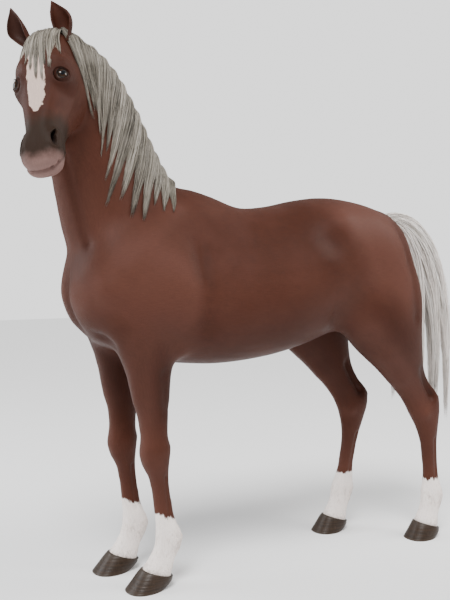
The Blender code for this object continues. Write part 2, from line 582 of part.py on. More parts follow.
def outwards(outline, distance):
    """The outline with every side moved out by the distance."""
    corners = [Vector(corner) for corner in outline]
    if sum(a.x * b.y - b.x * a.y for a, b in zip(corners, corners[1:] + corners[:1])) < 0:
        corners.reverse()
    moved = []
    for before, here, after in zip(corners[-1:] + corners[:-1], corners, corners[1:] + corners[:1]):
        first, second = (here - before).normalized(), (after - here).normalized()
        normals = Vector((first.y, -first.x)), Vector((second.y, -second.x))
        moved.append(here + (normals[0] + normals[1]) * distance / (1 + normals[0].dot(normals[1])))
    return moved


def block_on_head(outline, grow=0.0):
    """A block right across the head, its outline given in shares along the face and out of it."""
    return prism("head_block", outwards(outline, grow / HEAD_LENGTH),
                 lambda along, out, end: on_head(along, out, (2 * end - 1) * HEAD_BLOCK_HALF))


def neck_block(grow=0.0):
    return prism("neck_block", outwards(NECK_BLOCK, grow),
                 lambda y, z, end: np.array(((2 * end - 1) * NECK_BLOCK_HALF, y, z)) * SCALE)


def leg_block(fore_or_hind, side, grow=0.0):
    fore = fore_or_hind == "fore"
    outline = outwards(FORELEG_BLOCK if fore else HINDLEG_BLOCK, grow)
    first, last = FORELEG_RANGE if fore else HINDLEG_RANGE
    reach = np.array((first - grow, last + grow))
    return prism(f"{fore_or_hind}leg_{side}_block", outline,
                 lambda x, z, end: np.array((SIDES[side] * x, reach[end], z)) * SCALE)


def coronet_block(fore_or_hind, side):
    """The block below the plane of a hoof's top, lifted by the gap."""
    front, back, *_ = standing(HOOVES[fore_or_hind], fore_or_hind, side)[0]
    slope = (back[2] - front[2]) / (back[1] - front[1])
    ahead, behind, lift = front[1] - HOOF_MARGIN, back[1] + HOOF_MARGIN, GAP * np.hypot(1, slope) / SCALE
    outline = ((ahead, -HOOF_MARGIN), (behind, -HOOF_MARGIN), (behind, back[2] + slope * HOOF_MARGIN + lift),
               (ahead, front[2] - slope * HOOF_MARGIN + lift))
    return prism(f"coronet_{fore_or_hind}_{side}", outline,
                 lambda y, z, end: np.array((front[0] + (2 * end - 1) * HOOF_BLOCK_HALF, y, z)) * SCALE)


def make_ear(side):
    """A pointed cup: at each height an arc open to the front, thin-walled and narrowing to the tip."""
    flip = SIDES[side]
    along, out, away = EAR_PLACE[side]
    base = on_head(along, out, away * flip)
    along, out, away = EAR_AXIS[side]
    axis = unit(on_head(along, out, away * flip) - POLL)
    front = on_head(EAR_FRONT[0], EAR_FRONT[1], EAR_FRONT[2] * flip) - POLL
    front = unit(front - axis * (front @ axis))
    across = np.cross(axis, front) * np.sign(np.cross(axis, front) @ HEAD_LEFT) * flip
    share = np.linspace(0, 1, 9)[:, None]
    cup = np.radians(np.interp(share, EAR_SHARES, EAR_CUP_ANGLES))
    half = np.interp(share, EAR_SHARES, EAR_HALF_WIDTHS) * SCALE
    radius = half / np.sin(np.minimum(cup, np.pi / 2))
    angle = cup * np.linspace(-1, 1, 7)
    bow = across * (0.014 * np.sin(np.pi * share) - 0.006 * share ** 2)[..., None] * SCALE
    middle = base + axis * EAR_LENGTH * SCALE * share[..., None] + bow
    wall = np.minimum(EAR_THICKNESS * SCALE * (1 - 0.6 * share), 0.8 * radius)
    sheets = []
    for reach in (radius, radius - wall):
        centre = 0.5 * radius * (1 + np.cos(cup))
        sheets.append(middle + across * (reach * np.sin(angle))[..., None]
                      + front * (centre - reach * np.cos(angle))[..., None])
    rows, columns = angle.shape
    outer = np.arange(rows * columns).reshape(rows, columns)
    inner = outer + rows * columns
    faces = []
    for sheet in (outer, inner):
        quads = np.stack((sheet[:-1, :-1], sheet[:-1, 1:], sheet[1:, 1:], sheet[1:, :-1]), -1)
        faces += quads.reshape(-1, 4).tolist()
    for border in ((0, slice(None)), (-1, slice(None)), (slice(None), 0), (slice(None), -1)):
        a, b = outer[border], inner[border]
        faces += np.stack((a[:-1], a[1:], b[1:], b[:-1]), -1).tolist()
    return new_object(f"ear_{side}", np.concatenate(sheets).reshape(-1, 3), faces)


def make_ball(name, side, radius):
    bpy.ops.mesh.primitive_uv_sphere_add(segments=16, ring_count=9, radius=radius * SCALE)
    ball = bpy.context.active_object
    ball.name = name
    triangulate(ball.data)
    axis = Vector(HEAD_LEFT * SIDES[side])
    ball.data.transform(Matrix.Translation(on_head(EYE_PLACE[0], EYE_PLACE[1], EYE_PLACE[2] * SIDES[side]))
                        @ axis.to_track_quat("Z", "Y").to_matrix().to_4x4())
    return ball


def curve_points(corners, shares):
    """Points of a Bezier curve of any degree at the shares, by repeated halving towards each corner."""
    points = np.repeat(np.array(corners, float)[:, None], len(shares), axis=1)
    while len(points) > 1:
        points = points[:-1] + (points[1:] - points[:-1]) * np.asarray(shares)[:, None]
    return points[0]


def lock_widths(shares, width):
    """The half width of a lock along its length: full near the root, drawn out to a point."""
    return width * (1 - 0.15 * shares) * np.sqrt(np.clip(1 - shares ** 5, 0.010, 1))


def skin_below(point, tree, outside):
    """The skin's point and normal under a point, seen from outside, or the nearest where it faces away."""
    found, normal, _, _ = tree.ray_cast(Vector(point + outside), Vector(-outside))
    if found is None or normal.dot(Vector(outside)) < LEAST_DRAPE:
        found, normal, _, _ = tree.find_nearest(Vector(point))
    return np.array(found), unit(np.array(normal))


def draped_lock(name, path, tree, width, thickness, across, outside):
    """A flat lock along the path, laid on the skin so that its underside lies just inside it."""
    shares = np.linspace(0, 1, len(path))
    stations = []
    for share, point, half in zip(shares, path, lock_widths(shares, width)):
        found, normal = skin_below(point, tree, outside)
        depth = thickness * (1 - 0.55 * share)
        foot = found - normal * LOCK_FOOT
        side = unit(across - normal * (across @ normal))
        stations.append(((foot + normal * depth) / SCALE, foot / SCALE, side, half / SCALE, 2.0, 0.0))
    return new_object(name, *loft(stations, step=0.02, around=12))


def surface_tree(skin):
    points = [vertex.co.copy() for vertex in skin.data.vertices]
    return BVHTree.FromPolygons(points, [tuple(face.vertices) for face in skin.data.polygons])


def crest_point(share):
    crest = np.array(CREST) * SCALE
    knots = np.concatenate(([0], np.cumsum(np.linalg.norm(np.diff(crest, axis=0), axis=1))))
    return through(knots / knots[-1], crest, np.atleast_1d(share))[0]


def mane_path(share, jitter=0.0):
    """From the crest out over the left side, then down and towards the head to the tip."""
    root = crest_point(share)
    along, drop, forward = np.array(MANE_HANG).T
    fall = np.interp(share, along, drop) * (1 + jitter) * SCALE
    lean = np.interp(share, along, forward) * SCALE
    lean_way = np.array((0.0, -1.0, 0.0))
    spread = np.array((MANE_SPREAD, 0.0, 0.0)) * SCALE
    return curve_points((root - spread * 0.25 + (0, 0, 0.01), root + spread * 0.4 + (0, 0, 0.025),
                         root + spread * 1.1 - (0, 0, fall * 0.35) + lean_way * lean * 0.2,
                         root + spread * 1.8 - (0, 0, fall) + lean_way * lean), np.linspace(0, 1, 9))


def make_mane(tree):
    """Locks side by side from the poll to the withers, each a little longer or shorter than the next."""
    locks = []
    for i, share in enumerate(np.linspace(0.0, 1.0, MANE_LOCKS)):
        path = mane_path(share, jitter=(0.06, -0.07, 0.0)[i % 3])
        across = unit(crest_point(min(share + 0.05, 1)) - crest_point(max(share - 0.05, 0)))
        half_width = MANE_HALF_WIDTH * (0.72 + 0.28 * np.sin(np.pi * share)) * SCALE
        locks.append(draped_lock(f"mane_lock_{i}", path, tree, half_width, MANE_THICKNESS * SCALE,
                                 across, LEFT))
    return locks


def make_forelock(tree):
    """Locks from between the ears over the poll and down the forehead."""
    locks = []
    for i, (root, down, away) in enumerate(FORELOCK):
        path = curve_points((on_head(FORELOCK_ROOT[0], FORELOCK_ROOT[1], root), on_head(-0.06, 0.06, root),
                             on_head(down * 0.5, 0.10, (root + away) / 2), on_head(down, 0.06, away)),
                            np.linspace(0, 1, 7))
        across = unit(HEAD_LEFT + DOWN_FACE * (root - away) * 2)
        locks.append(draped_lock(f"forelock_{i}", path, tree, FORELOCK_HALF_WIDTH * SCALE,
                                 FORELOCK_THICKNESS * SCALE, across, OUT_OF_FACE))
    return locks


def tail_path(tip, shares):
    """Out of the dock, over the arch and down to the tip."""
    tip = np.array(tip)
    arch = np.array(TAIL_ARCH) + (tip[0] * 0.5, (tip[1] - 0.95) * 0.48, (tip[1] - 0.95) * 0.30)
    controls = (DOCK, DOCK + (arch - DOCK) * 0.55 + (0, 0, 0.055), arch + (0, 0.03, 0.02),
                (tip[0] * 1.4, tip[1] + 0.01, 1.10), (tip[0] * 1.2, tip[1], 0.85), tip)
    return curve_points(controls, shares) * SCALE


def make_tail():
    locks = []
    shares = np.linspace(0, 1, 12)
    for i, tip in enumerate(TAIL_TIPS):
        path = tail_path(tip, shares)
        along = np.gradient(path, axis=0)
        behind = np.cross(along, LEFT)
        behind /= np.linalg.norm(behind, axis=1)[:, None]
        belly = 0.8 + 0.5 * np.sin(np.pi * shares)
        half = lock_widths(shares, TAIL_THICKNESS * 0.5) * belly
        stations = [(point + back * depth, point - back * depth, LEFT, depth, 2.0, 0.0)
                    for point, back, depth in zip(path / SCALE, behind, half)]
        locks.append(new_object(f"tail_lock_{i}", *loft(stations, step=0.03, around=12)))
    return locks


def one_mass(name, locks, triangles):
    """The locks melted into one closed piece."""
    mass = joined(locks, name)
    mass = melted(mass, HAIR_VOXEL)
    points, edges = coordinates(mass.data), edge_ends(mass.data)
    place_points(mass.data, smoothed(points, edges, np.ones(len(points)), HAIR_ROUNDS))
    return largest_piece(decimated(mass, triangles))


def material(name, colour, roughness):
    made = bpy.data.materials.new(name)
    made.use_nodes = True
    shader = made.node_tree.nodes["Principled BSDF"]
    shader.inputs["Base Color"].default_value = colour
    shader.inputs["Roughness"].default_value = roughness
    return made


def finish(nodes):
    """Gives every node its material, its place in the collection and the shared origin."""
    looks = {"hair": material("hair", HAIR_COLOUR, 0.6), "hoof": material("hoof", HOOF_COLOUR, 0.5),
             "eye": material("eye", EYE_COLOUR, 0.08), "coat": material("coat", COAT_COLOUR, 0.55)}
    kinds = {"mane": "hair", "forelock": "hair", "tail": "hair", "hoof": "hoof", "eye": "eye"}
    horse = bpy.data.collections.new("horse")
    bpy.context.scene.collection.children.link(horse)
    corners = np.concatenate([coordinates(node.data) for node in nodes])
    low, high = corners.min(axis=0), corners.max(axis=0)
    origin = Matrix.Translation(-Vector(((low[0] + high[0]) / 2, (low[1] + high[1]) / 2, low[2])))
    for node in nodes:
        node.data.transform(origin)
        node.data.materials.clear()
        node.data.materials.append(looks[kinds.get(node.name.split("_")[0], "coat")])
        node.data.polygons.foreach_set("material_index", [0] * len(node.data.polygons))
        for holder in node.users_collection:
            holder.objects.unlink(node)
        horse.objects.link(node)


def thinned_body(body):
    """The body with most of its triangles on the head and the lower legs."""
    points = coordinates(body.data)
    fine = nearness(points, on_head(0.1, -0.1), on_head(0.95, -0.1), 0.18 * SCALE) > 0.37
    fine |= points[:, 2] < 0.80 * SCALE
    return decimated(body, BODY_TRIANGLES, np.where(fine, FINE_SHARE, 1.0))


def cut_hair(mane, forelock, tail, ears, body):
    """Mane, forelock and tail without what lies in the ears or the body, and parted on the poll."""
    for ear in ears:
        cutter = grown(ear, "ear_cutter", HAIR_GAP)
        mane, forelock = boolean(mane, cutter), boolean(forelock, cutter)
        bpy.data.objects.remove(cutter)
    front, front_grown = block_on_head(FORELOCK_BLOCK), block_on_head(FORELOCK_BLOCK, HAIR_GAP)
    forelock, mane = boolean(forelock, front, "INTERSECT"), boolean(mane, front_grown)
    solid = grown(body, "body_cutter", HAIR_GAP)
    hair = [boolean(lock, solid) for lock in (mane, forelock, tail)]
    for cutter in (front, front_grown, solid):
        bpy.data.objects.remove(cutter)
    return hair


def make_hoof(fore_or_hind, side):
    stations = standing(HOOVES[fore_or_hind], fore_or_hind, side)
    return new_object(f"hoof_{fore_or_hind}_{side}", *loft(stations, step=0.02, around=18, fewest=5))


def cuts():
    """Each node that is cut off the body, with its block and the block grown by the gap."""
    yield "head", block_on_head(HEAD_BLOCK), block_on_head(HEAD_BLOCK, GAP)
    yield "neck", neck_block(), neck_block(GAP)
    for fore_or_hind, side in STANCE:
        yield f"{fore_or_hind}leg_{side}", leg_block(fore_or_hind, side), leg_block(fore_or_hind, side, GAP)


def main():
    for old in list(bpy.data.objects):
        bpy.data.objects.remove(old)
    body = make_body()
    tree = surface_tree(body)
    mane = one_mass("mane", make_mane(tree), MANE_TRIANGLES)
    forelock = one_mass("forelock", make_forelock(tree), FORELOCK_TRIANGLES)
    tail = one_mass("tail", make_tail(), TAIL_TRIANGLES)
    body = thinned_body(body)
    solid = grown(body, "body_cutter")
    ears = [boolean(make_ear(side), solid) for side in SIDES]
    bpy.data.objects.remove(solid)
    mane, forelock, tail = cut_hair(mane, forelock, tail, ears, body)
    eyes = []
    for side in SIDES:
        eyes.append(make_ball(f"eye_{side}", side, EYE_RADIUS))
        socket = make_ball(f"socket_{side}", side, EYE_RADIUS + GAP)
        body, forelock = boolean(body, socket), boolean(forelock, socket)
        bpy.data.objects.remove(socket)
    hooves = []
    for fore_or_hind, side in STANCE:
        hooves.append(make_hoof(fore_or_hind, side))
        block = coronet_block(fore_or_hind, side)
        body = boolean(body, block)
        bpy.data.objects.remove(block)
    nodes = [mane, forelock, tail, *ears, *eyes, *hooves]
    for name, block, rest in cuts():
        copy = bpy.data.objects.new(name, body.data.copy())
        bpy.context.scene.collection.objects.link(copy)
        nodes.append(boolean(copy, block, "INTERSECT"))
        body = boolean(body, rest)
        bpy.data.objects.remove(block)
        bpy.data.objects.remove(rest)
    body.name = "trunk"
    finish([largest_piece(node) for node in (body, *nodes)])


if __name__ == "__main__":
    main()
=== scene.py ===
"""A life-size flaxen-chestnut horse: one skin with its coat, mane, tail, eyes and hooves, on a pale floor.

The horse faces -Y, its left side is +X and it stands on Z = 0. The skin is melted from lofts between named
stations, muscles and folds are raised on it, and hair is laid over it as closed strands and tufts.
"""

import json
import bpy
import bmesh
import numpy as np
from mathutils import Matrix, Vector
from mathutils.bvhtree import BVHTree

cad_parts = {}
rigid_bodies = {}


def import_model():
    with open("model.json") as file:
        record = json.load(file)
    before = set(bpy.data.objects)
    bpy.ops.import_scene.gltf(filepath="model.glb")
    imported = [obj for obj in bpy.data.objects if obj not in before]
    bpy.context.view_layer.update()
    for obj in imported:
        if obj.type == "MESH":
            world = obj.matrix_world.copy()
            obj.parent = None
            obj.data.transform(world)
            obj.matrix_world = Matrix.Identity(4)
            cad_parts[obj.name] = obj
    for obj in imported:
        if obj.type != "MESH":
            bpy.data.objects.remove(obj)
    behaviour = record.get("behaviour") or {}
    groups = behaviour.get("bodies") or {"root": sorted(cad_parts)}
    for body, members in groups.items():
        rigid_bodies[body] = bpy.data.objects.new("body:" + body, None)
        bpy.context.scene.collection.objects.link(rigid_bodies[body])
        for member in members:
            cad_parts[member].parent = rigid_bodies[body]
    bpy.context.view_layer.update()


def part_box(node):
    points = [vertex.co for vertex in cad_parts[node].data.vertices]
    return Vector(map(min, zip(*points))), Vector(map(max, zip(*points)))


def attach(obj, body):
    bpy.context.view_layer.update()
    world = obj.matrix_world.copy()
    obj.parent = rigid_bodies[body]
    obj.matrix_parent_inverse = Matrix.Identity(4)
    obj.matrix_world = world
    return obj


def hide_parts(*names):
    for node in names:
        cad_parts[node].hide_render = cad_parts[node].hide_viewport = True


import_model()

bl_info = {
    "name": "Standing horse",
    "version": (1, 0, 0),
    "blender": (4, 5, 0),
    "location": "3D View > Sidebar > Horse",
    "description": "A life-size horse with its coat, mane, tail, eyes and hooves",
    "category": "Add Mesh",
}

HEAD_LENGTH = 0.60
EYE_RADIUS = 0.0260
EAR_LENGTH = 0.174
EAR_THICKNESS = 0.0075
LEFT = np.array((1.0, 0.0, 0.0))
SIDES = {"left": 1, "right": -1}


def unit(vector):
    """The vector drawn to a length of one."""
    return vector / np.linalg.norm(vector)


# The head hangs from the poll, turned to the horse's left and a little rolled.
POLL = np.array((0.092, -0.950, 2.142))
DOWN_FACE = unit(np.array((0.500, -0.180, -0.845)))
HEAD_LEFT = np.array((0.600, 0.775, 0.200))
HEAD_LEFT = unit(HEAD_LEFT - DOWN_FACE * (HEAD_LEFT @ DOWN_FACE))
OUT_OF_FACE = np.cross(DOWN_FACE, HEAD_LEFT)


def on_head(along, out, left=0.0):
    """The point that far down the face from the poll, out of the face, and to the head's left."""
    return POLL + (DOWN_FACE * along + OUT_OF_FACE * out + HEAD_LEFT * left) * HEAD_LENGTH


def upright(y, top, bottom, width, square=2.2, taper=0.0):
    """A trunk station: an upright oval across the body at y."""
    return (0, y, top), (0, y, bottom), LEFT, width, square, taper


def slanted(front, back, width, square=2.1, taper=0.0, turn=0.0):
    """A neck station between a point on the crest and one on the throat."""
    return front, back, unit(LEFT * (1 - turn) + HEAD_LEFT * turn), width, square, taper


def skull(along, front, back, width, square=2.4, taper=0.0):
    """A head station, as shares of the head's length: bridge and jaw heights and half width."""
    return on_head(along, front), on_head(along, back), HEAD_LEFT, width * HEAD_LENGTH, square, taper


def limb(x, front, back, width, square=2.1, taper=0.0):
    """A left leg's station between its front and back points, each given as (y, z)."""
    return (x, *front), (x, *back), LEFT, width, square, taper


# Each row holds y, top, bottom, half width, squareness and taper, from the breast to the buttocks.
TRUNK = [upright(*row) for row in (
    (-0.838, 1.250, 1.140, 0.060, 2.0),
    (-0.815, 1.330, 1.075, 0.135, 2.1),
    (-0.760, 1.430, 1.005, 0.205, 2.3, -0.05),
    (-0.640, 1.520, 0.935, 0.243, 2.3, -0.15),
    (-0.500, 1.575, 0.893, 0.256, 2.2, -0.28),
    (-0.350, 1.602, 0.872, 0.270, 2.1, -0.40),
    (-0.240, 1.572, 0.865, 0.287, 2.1, -0.36),
    (-0.100, 1.524, 0.870, 0.304, 2.1, -0.22),
    (0.040, 1.531, 0.888, 0.314, 2.15, -0.12),
    (0.180, 1.560, 0.920, 0.306, 2.2, -0.05),
    (0.320, 1.577, 0.965, 0.288, 2.3, 0.02),
    (0.440, 1.567, 1.010, 0.276, 2.3, 0.0),
    (0.560, 1.541, 1.040, 0.258, 2.25, -0.04),
    (0.660, 1.510, 1.070, 0.225, 2.15, -0.08),
    (0.730, 1.440, 1.130, 0.165, 2.05, -0.05),
    (0.765, 1.350, 1.210, 0.090, 2.0),
)]

# Crest point, throat point, half width, squareness, taper and turn, from the withers to the poll.
NECK = [slanted(*row) for row in (
    ((0, -0.300, 1.470), (0, -0.680, 1.060), 0.160),
    ((0, -0.390, 1.598), (0, -0.790, 1.235), 0.160, 2.2, -0.30),
    ((0, -0.452, 1.690), (0, -0.835, 1.380), 0.137, 2.2, -0.25),
    ((0.004, -0.508, 1.790), (0.010, -0.868, 1.530), 0.117, 2.15, -0.20, 0.05),
    ((0.012, -0.585, 1.925), (0.025, -0.895, 1.670), 0.103, 2.1, -0.15, 0.15),
    ((0.030, -0.672, 2.035), (0.050, -0.905, 1.790), 0.094, 2.1, -0.10, 0.35),
    ((0.055, -0.762, 2.098), (0.060, -0.915, 1.870), 0.085, 2.1, -0.05, 0.60),
    ((0.075, -0.862, 2.130), (0.060, -0.930, 1.950), 0.072, 2.1, 0.0, 0.90),
)]

# Shares of the head's length: along the face, bridge, jaw, half width; then squareness and taper.
HEAD = [skull(*row) for row in (
    (-0.085, -0.130, -0.215, 0.060, 2.0),
    (-0.050, -0.060, -0.250, 0.096, 2.1),
    (0.010, -0.012, -0.300, 0.122, 2.2),
    (0.090, 0.022, -0.365, 0.146, 2.3, 0.05),
    (0.175, 0.042, -0.430, 0.166, 2.5, 0.10),
    (0.255, 0.048, -0.465, 0.182, 2.7, 0.16),
    (0.335, 0.042, -0.468, 0.184, 2.7, 0.20),
    (0.420, 0.030, -0.438, 0.170, 2.6, 0.16),
    (0.520, 0.014, -0.372, 0.153, 2.5, 0.06),
    (0.635, 0.004, -0.302, 0.134, 2.4, 0.0),
    (0.740, -0.002, -0.256, 0.120, 2.3, -0.05),
    (0.825, -0.003, -0.234, 0.120, 2.3, -0.05),
    (0.900, -0.013, -0.226, 0.122, 2.3, 0.0),
    (0.958, -0.036, -0.206, 0.106, 2.3, 0.0),
    (0.990, -0.068, -0.182, 0.074, 2.2),
    (1.003, -0.100, -0.150, 0.036, 2.0),
)]

# Distance from the middle, front (y, z), back (y, z), half width, squareness, from shoulder to coronet.
FORELEG = [limb(*row) for row in (
    (0.120, (-0.680, 1.380), (-0.440, 1.420), 0.085),
    (0.148, (-0.775, 1.180), (-0.400, 1.220), 0.092),
    (0.154, (-0.750, 1.060), (-0.405, 1.050), 0.090),
    (0.150, (-0.700, 0.965), (-0.440, 0.940), 0.083),
    (0.143, (-0.658, 0.870), (-0.466, 0.855), 0.071),
    (0.136, (-0.634, 0.770), (-0.476, 0.760), 0.060),
    (0.130, (-0.612, 0.665), (-0.485, 0.660), 0.050),
    (0.127, (-0.606, 0.605), (-0.487, 0.605), 0.049),
    (0.125, (-0.610, 0.550), (-0.482, 0.552), 0.056, 2.5),
    (0.124, (-0.602, 0.495), (-0.486, 0.505), 0.050, 2.4),
    (0.123, (-0.576, 0.440), (-0.488, 0.440), 0.036),
    (0.123, (-0.562, 0.360), (-0.478, 0.360), 0.031),
    (0.123, (-0.552, 0.270), (-0.462, 0.270), 0.033),
    (0.123, (-0.549, 0.210), (-0.434, 0.195), 0.043, 2.3),
    (0.123, (-0.556, 0.165), (-0.443, 0.148), 0.039, 2.2),
    (0.123, (-0.576, 0.125), (-0.470, 0.100), 0.041, 2.2),
    (0.123, (-0.598, 0.092), (-0.485, 0.055), 0.053, 2.1),
    (0.123, (-0.622, 0.055), (-0.494, 0.010), 0.054, 2.1),
)]
HINDLEG = [limb(*row) for row in (
    (0.110, (0.300, 1.420), (0.700, 1.380), 0.120),
    (0.148, (0.270, 1.220), (0.762, 1.220), 0.122),
    (0.162, (0.285, 1.100), (0.774, 1.100), 0.114),
    (0.166, (0.335, 0.990), (0.772, 0.980), 0.099),
    (0.162, (0.425, 0.900), (0.782, 0.880), 0.083),
    (0.153, (0.548, 0.800), (0.800, 0.800), 0.066),
    (0.146, (0.645, 0.705), (0.838, 0.735), 0.053),
    (0.142, (0.698, 0.645), (0.897, 0.668), 0.047),
    (0.140, (0.732, 0.595), (0.908, 0.615), 0.050, 2.3),
    (0.140, (0.772, 0.530), (0.902, 0.530), 0.045),
    (0.140, (0.800, 0.460), (0.896, 0.460), 0.037),
    (0.140, (0.814, 0.370), (0.898, 0.370), 0.033),
    (0.140, (0.820, 0.270), (0.911, 0.270), 0.034),
    (0.140, (0.814, 0.210), (0.930, 0.195), 0.043, 2.3),
    (0.140, (0.802, 0.165), (0.912, 0.148), 0.039, 2.2),
    (0.140, (0.780, 0.125), (0.884, 0.100), 0.041, 2.2),
    (0.140, (0.757, 0.092), (0.866, 0.055), 0.052, 2.1),
    (0.140, (0.736, 0.055), (0.858, 0.010), 0.053, 2.1),
)]
# Coronet, wall and ground of the left hooves, in the same way.
FORE_HOOF = [limb(*row) for row in (
    (0.123, (-0.612, 0.0797), (-0.482, 0.0397), 0.0565, 2.1, 0.05),
    (0.124, (-0.628, 0.062), (-0.487, 0.026), 0.0600, 2.15, 0.08),
    (0.125, (-0.653, 0.030), (-0.504, 0.010), 0.0645, 2.2, 0.12),
    (0.125, (-0.678, 0.0), (-0.520, 0.0), 0.0685, 2.2, 0.14),
)]
HIND_HOOF = [limb(*row) for row in (
    (0.140, (0.744, 0.0797), (0.869, 0.0397), 0.0555, 2.1, 0.0),
    (0.141, (0.729, 0.062), (0.864, 0.026), 0.0585, 2.15, 0.03),
    (0.141, (0.705, 0.030), (0.848, 0.010), 0.0620, 2.2, 0.06),
    (0.141, (0.681, 0.0), (0.832, 0.0), 0.0650, 2.2, 0.08),
)]
HOOVES = {"fore": FORE_HOOF, "hind": HIND_HOOF}

# How far each leg is moved along Y, as (height, shift) from the ground up.
STANCE = {
    ("fore", "left"): ((0.0, 0.034), (0.2, 0.03), (0.55, 0.025), (1.0, 0.0)),
    ("fore", "right"): ((0.0, -0.018), (0.2, -0.02), (0.55, -0.02), (1.0, 0.0)),
    ("hind", "left"): ((0.0, 0.055), (0.2, 0.008), (1.3, 0.0)),
    ("hind", "right"): ((0.0, -0.277), (0.2, -0.308), (0.6, -0.2), (0.98, -0.168), (1.3, 0.0)),
}
LEGS = {"fore": FORELEG, "hind": HINDLEG}

# Lines near which neighbouring lofts melt into each other: start, end and reach.
MELT = (
    ((0.0, -0.38, 1.6), (0.16, -0.72, 1.35), 0.11),
    ((0.16, -0.72, 1.35), (0.0, -0.84, 1.28), 0.09),
    ((0.09, -0.72, 1.0), (0.2, -0.42, 0.96), 0.08),
    ((0.2, -0.42, 0.96), (0.27, -0.4, 1.25), 0.1),
    ((0.2, -0.76, 1.05), (0.2, -0.72, 1.35), 0.09),
    ((0.27, 0.27, 1.05), (0.29, 0.45, 1.35), 0.12),
    ((0.12, 0.33, 0.98), (0.27, 0.27, 1.05), 0.08),
    ((0.1, 0.72, 1.1), (0.2, 0.73, 1.35), 0.09),
    ((0.03, 0.5, 1.05), (0.06, 0.74, 1.1), 0.05),
)


def spot(place, reach, rise):
    """A round form, as a line that ends where it starts."""
    return place, place, reach, rise


# Muscles (+) and hollows (-): start, end, reach and height, on the left of the standing horse.
RELIEF = (
    spot((0.085, -0.81, 1.17), 0.07, 0.006),  # breast muscle
    ((0.0, -0.86, 1.25), (0.0, -0.8, 1.02), 0.03, -0.012),  # groove down the breast
    spot((0.21, -0.74, 1.19), 0.05, 0.012),  # point of the shoulder
    ((0.245, -0.55, 1.12), (0.255, -0.5, 1.2), 0.11, 0.016),  # triceps
    ((0.13, -0.44, 1.5), (0.21, -0.66, 1.26), 0.035, 0.008),  # spine of the shoulder blade
    ((0.25, -0.38, 1.42), (0.25, -0.36, 1.05), 0.035, -0.012),  # behind the shoulder
    spot((0.2, -0.445, 0.95), 0.035, 0.012),  # point of the elbow
    ((0.06, -0.74, 1.05), (0.15, -0.72, 0.97), 0.025, -0.01),  # crease before the forearm
    ((0.1, -0.875, 1.68), (0.125, -0.8, 1.36), 0.02, -0.011),  # jugular groove
    ((0.03, -0.9, 1.66), (0.03, -0.85, 1.36), 0.03, 0.006),  # windpipe
    ((0.1, -0.7, 1.72), (0.15, -0.66, 1.45), 0.06, 0.006),  # side of the neck
    ((0.05, -0.52, 1.78), (0.06, -0.42, 1.62), 0.045, -0.006),  # below the crest
    spot((0.27, 0.22, 1.38), 0.065, -0.013),  # hollow of the flank
    spot((0.24, 0.31, 1.475), 0.045, 0.01),  # point of the hip
    ((0.2, 0.5, 1.45), (0.24, 0.55, 1.3), 0.1, 0.012),  # muscles of the croup
    ((0.21, 0.62, 1.46), (0.235, 0.685, 1.05), 0.028, -0.008),  # groove of the hamstrings
    spot((0.09, 0.77, 1.32), 0.045, 0.01),  # point of the buttock
    ((0.0, 0.4, 1.58), (0.0, 0.62, 1.53), 0.03, -0.006),  # furrow of the croup
    ((0.0, 0.8, 1.4), (0.0, 0.72, 1.05), 0.03, -0.016),  # cleft of the buttocks
    spot((0.26, 0.36, 1.0), 0.06, 0.008),  # stifle
    ((0.24, 0.24, 1.08), (0.2, 0.3, 0.97), 0.035, -0.008),  # fold of the flank
    ((0.3, -0.15, 1.15), (0.3, 0.12, 1.2), 0.12, 0.004),  # barrel
    ((0.185, -0.64, 0.88), (0.155, -0.625, 0.74), 0.035, 0.006),  # extensor of the forearm
    ((0.2, -0.52, 0.86), (0.17, -0.51, 0.72), 0.022, -0.005),  # groove of the forearm
    spot((0.125, -0.47, 0.56), 0.022, 0.009),  # bone behind the knee
    spot((0.125, -0.612, 0.535), 0.028, 0.004),  # front of the knee
    ((0.158, -0.508, 0.44), (0.158, -0.49, 0.26), 0.011, -0.006),  # outside of the fore tendon
    ((0.088, -0.508, 0.44), (0.088, -0.49, 0.26), 0.011, -0.006),  # inside of the fore tendon
    spot((0.123, -0.428, 0.195), 0.018, 0.005),  # tuft of the fore fetlock
    ((0.215, 0.545, 0.86), (0.195, 0.64, 0.76), 0.04, 0.007),  # gaskin
    ((0.185, 0.745, 0.8), (0.18, 0.835, 0.67), 0.02, -0.014),  # outside, before the Achilles tendon
    ((0.105, 0.745, 0.8), (0.105, 0.835, 0.67), 0.02, -0.014),  # inside, before the Achilles tendon
    spot((0.188, 0.8, 0.585), 0.024, 0.006),  # outside of the hock
    spot((0.092, 0.79, 0.575), 0.026, 0.007),  # inside of the hock
    spot((0.14, 0.9, 0.655), 0.022, 0.007),  # point of the hock
    ((0.177, 0.868, 0.46), (0.177, 0.878, 0.27), 0.011, -0.006),  # outside of the hind tendon
    ((0.103, 0.868, 0.46), (0.103, 0.878, 0.27), 0.011, -0.006),  # inside of the hind tendon
    spot((0.14, 0.935, 0.195), 0.018, 0.005),  # tuft of the hind fetlock
)
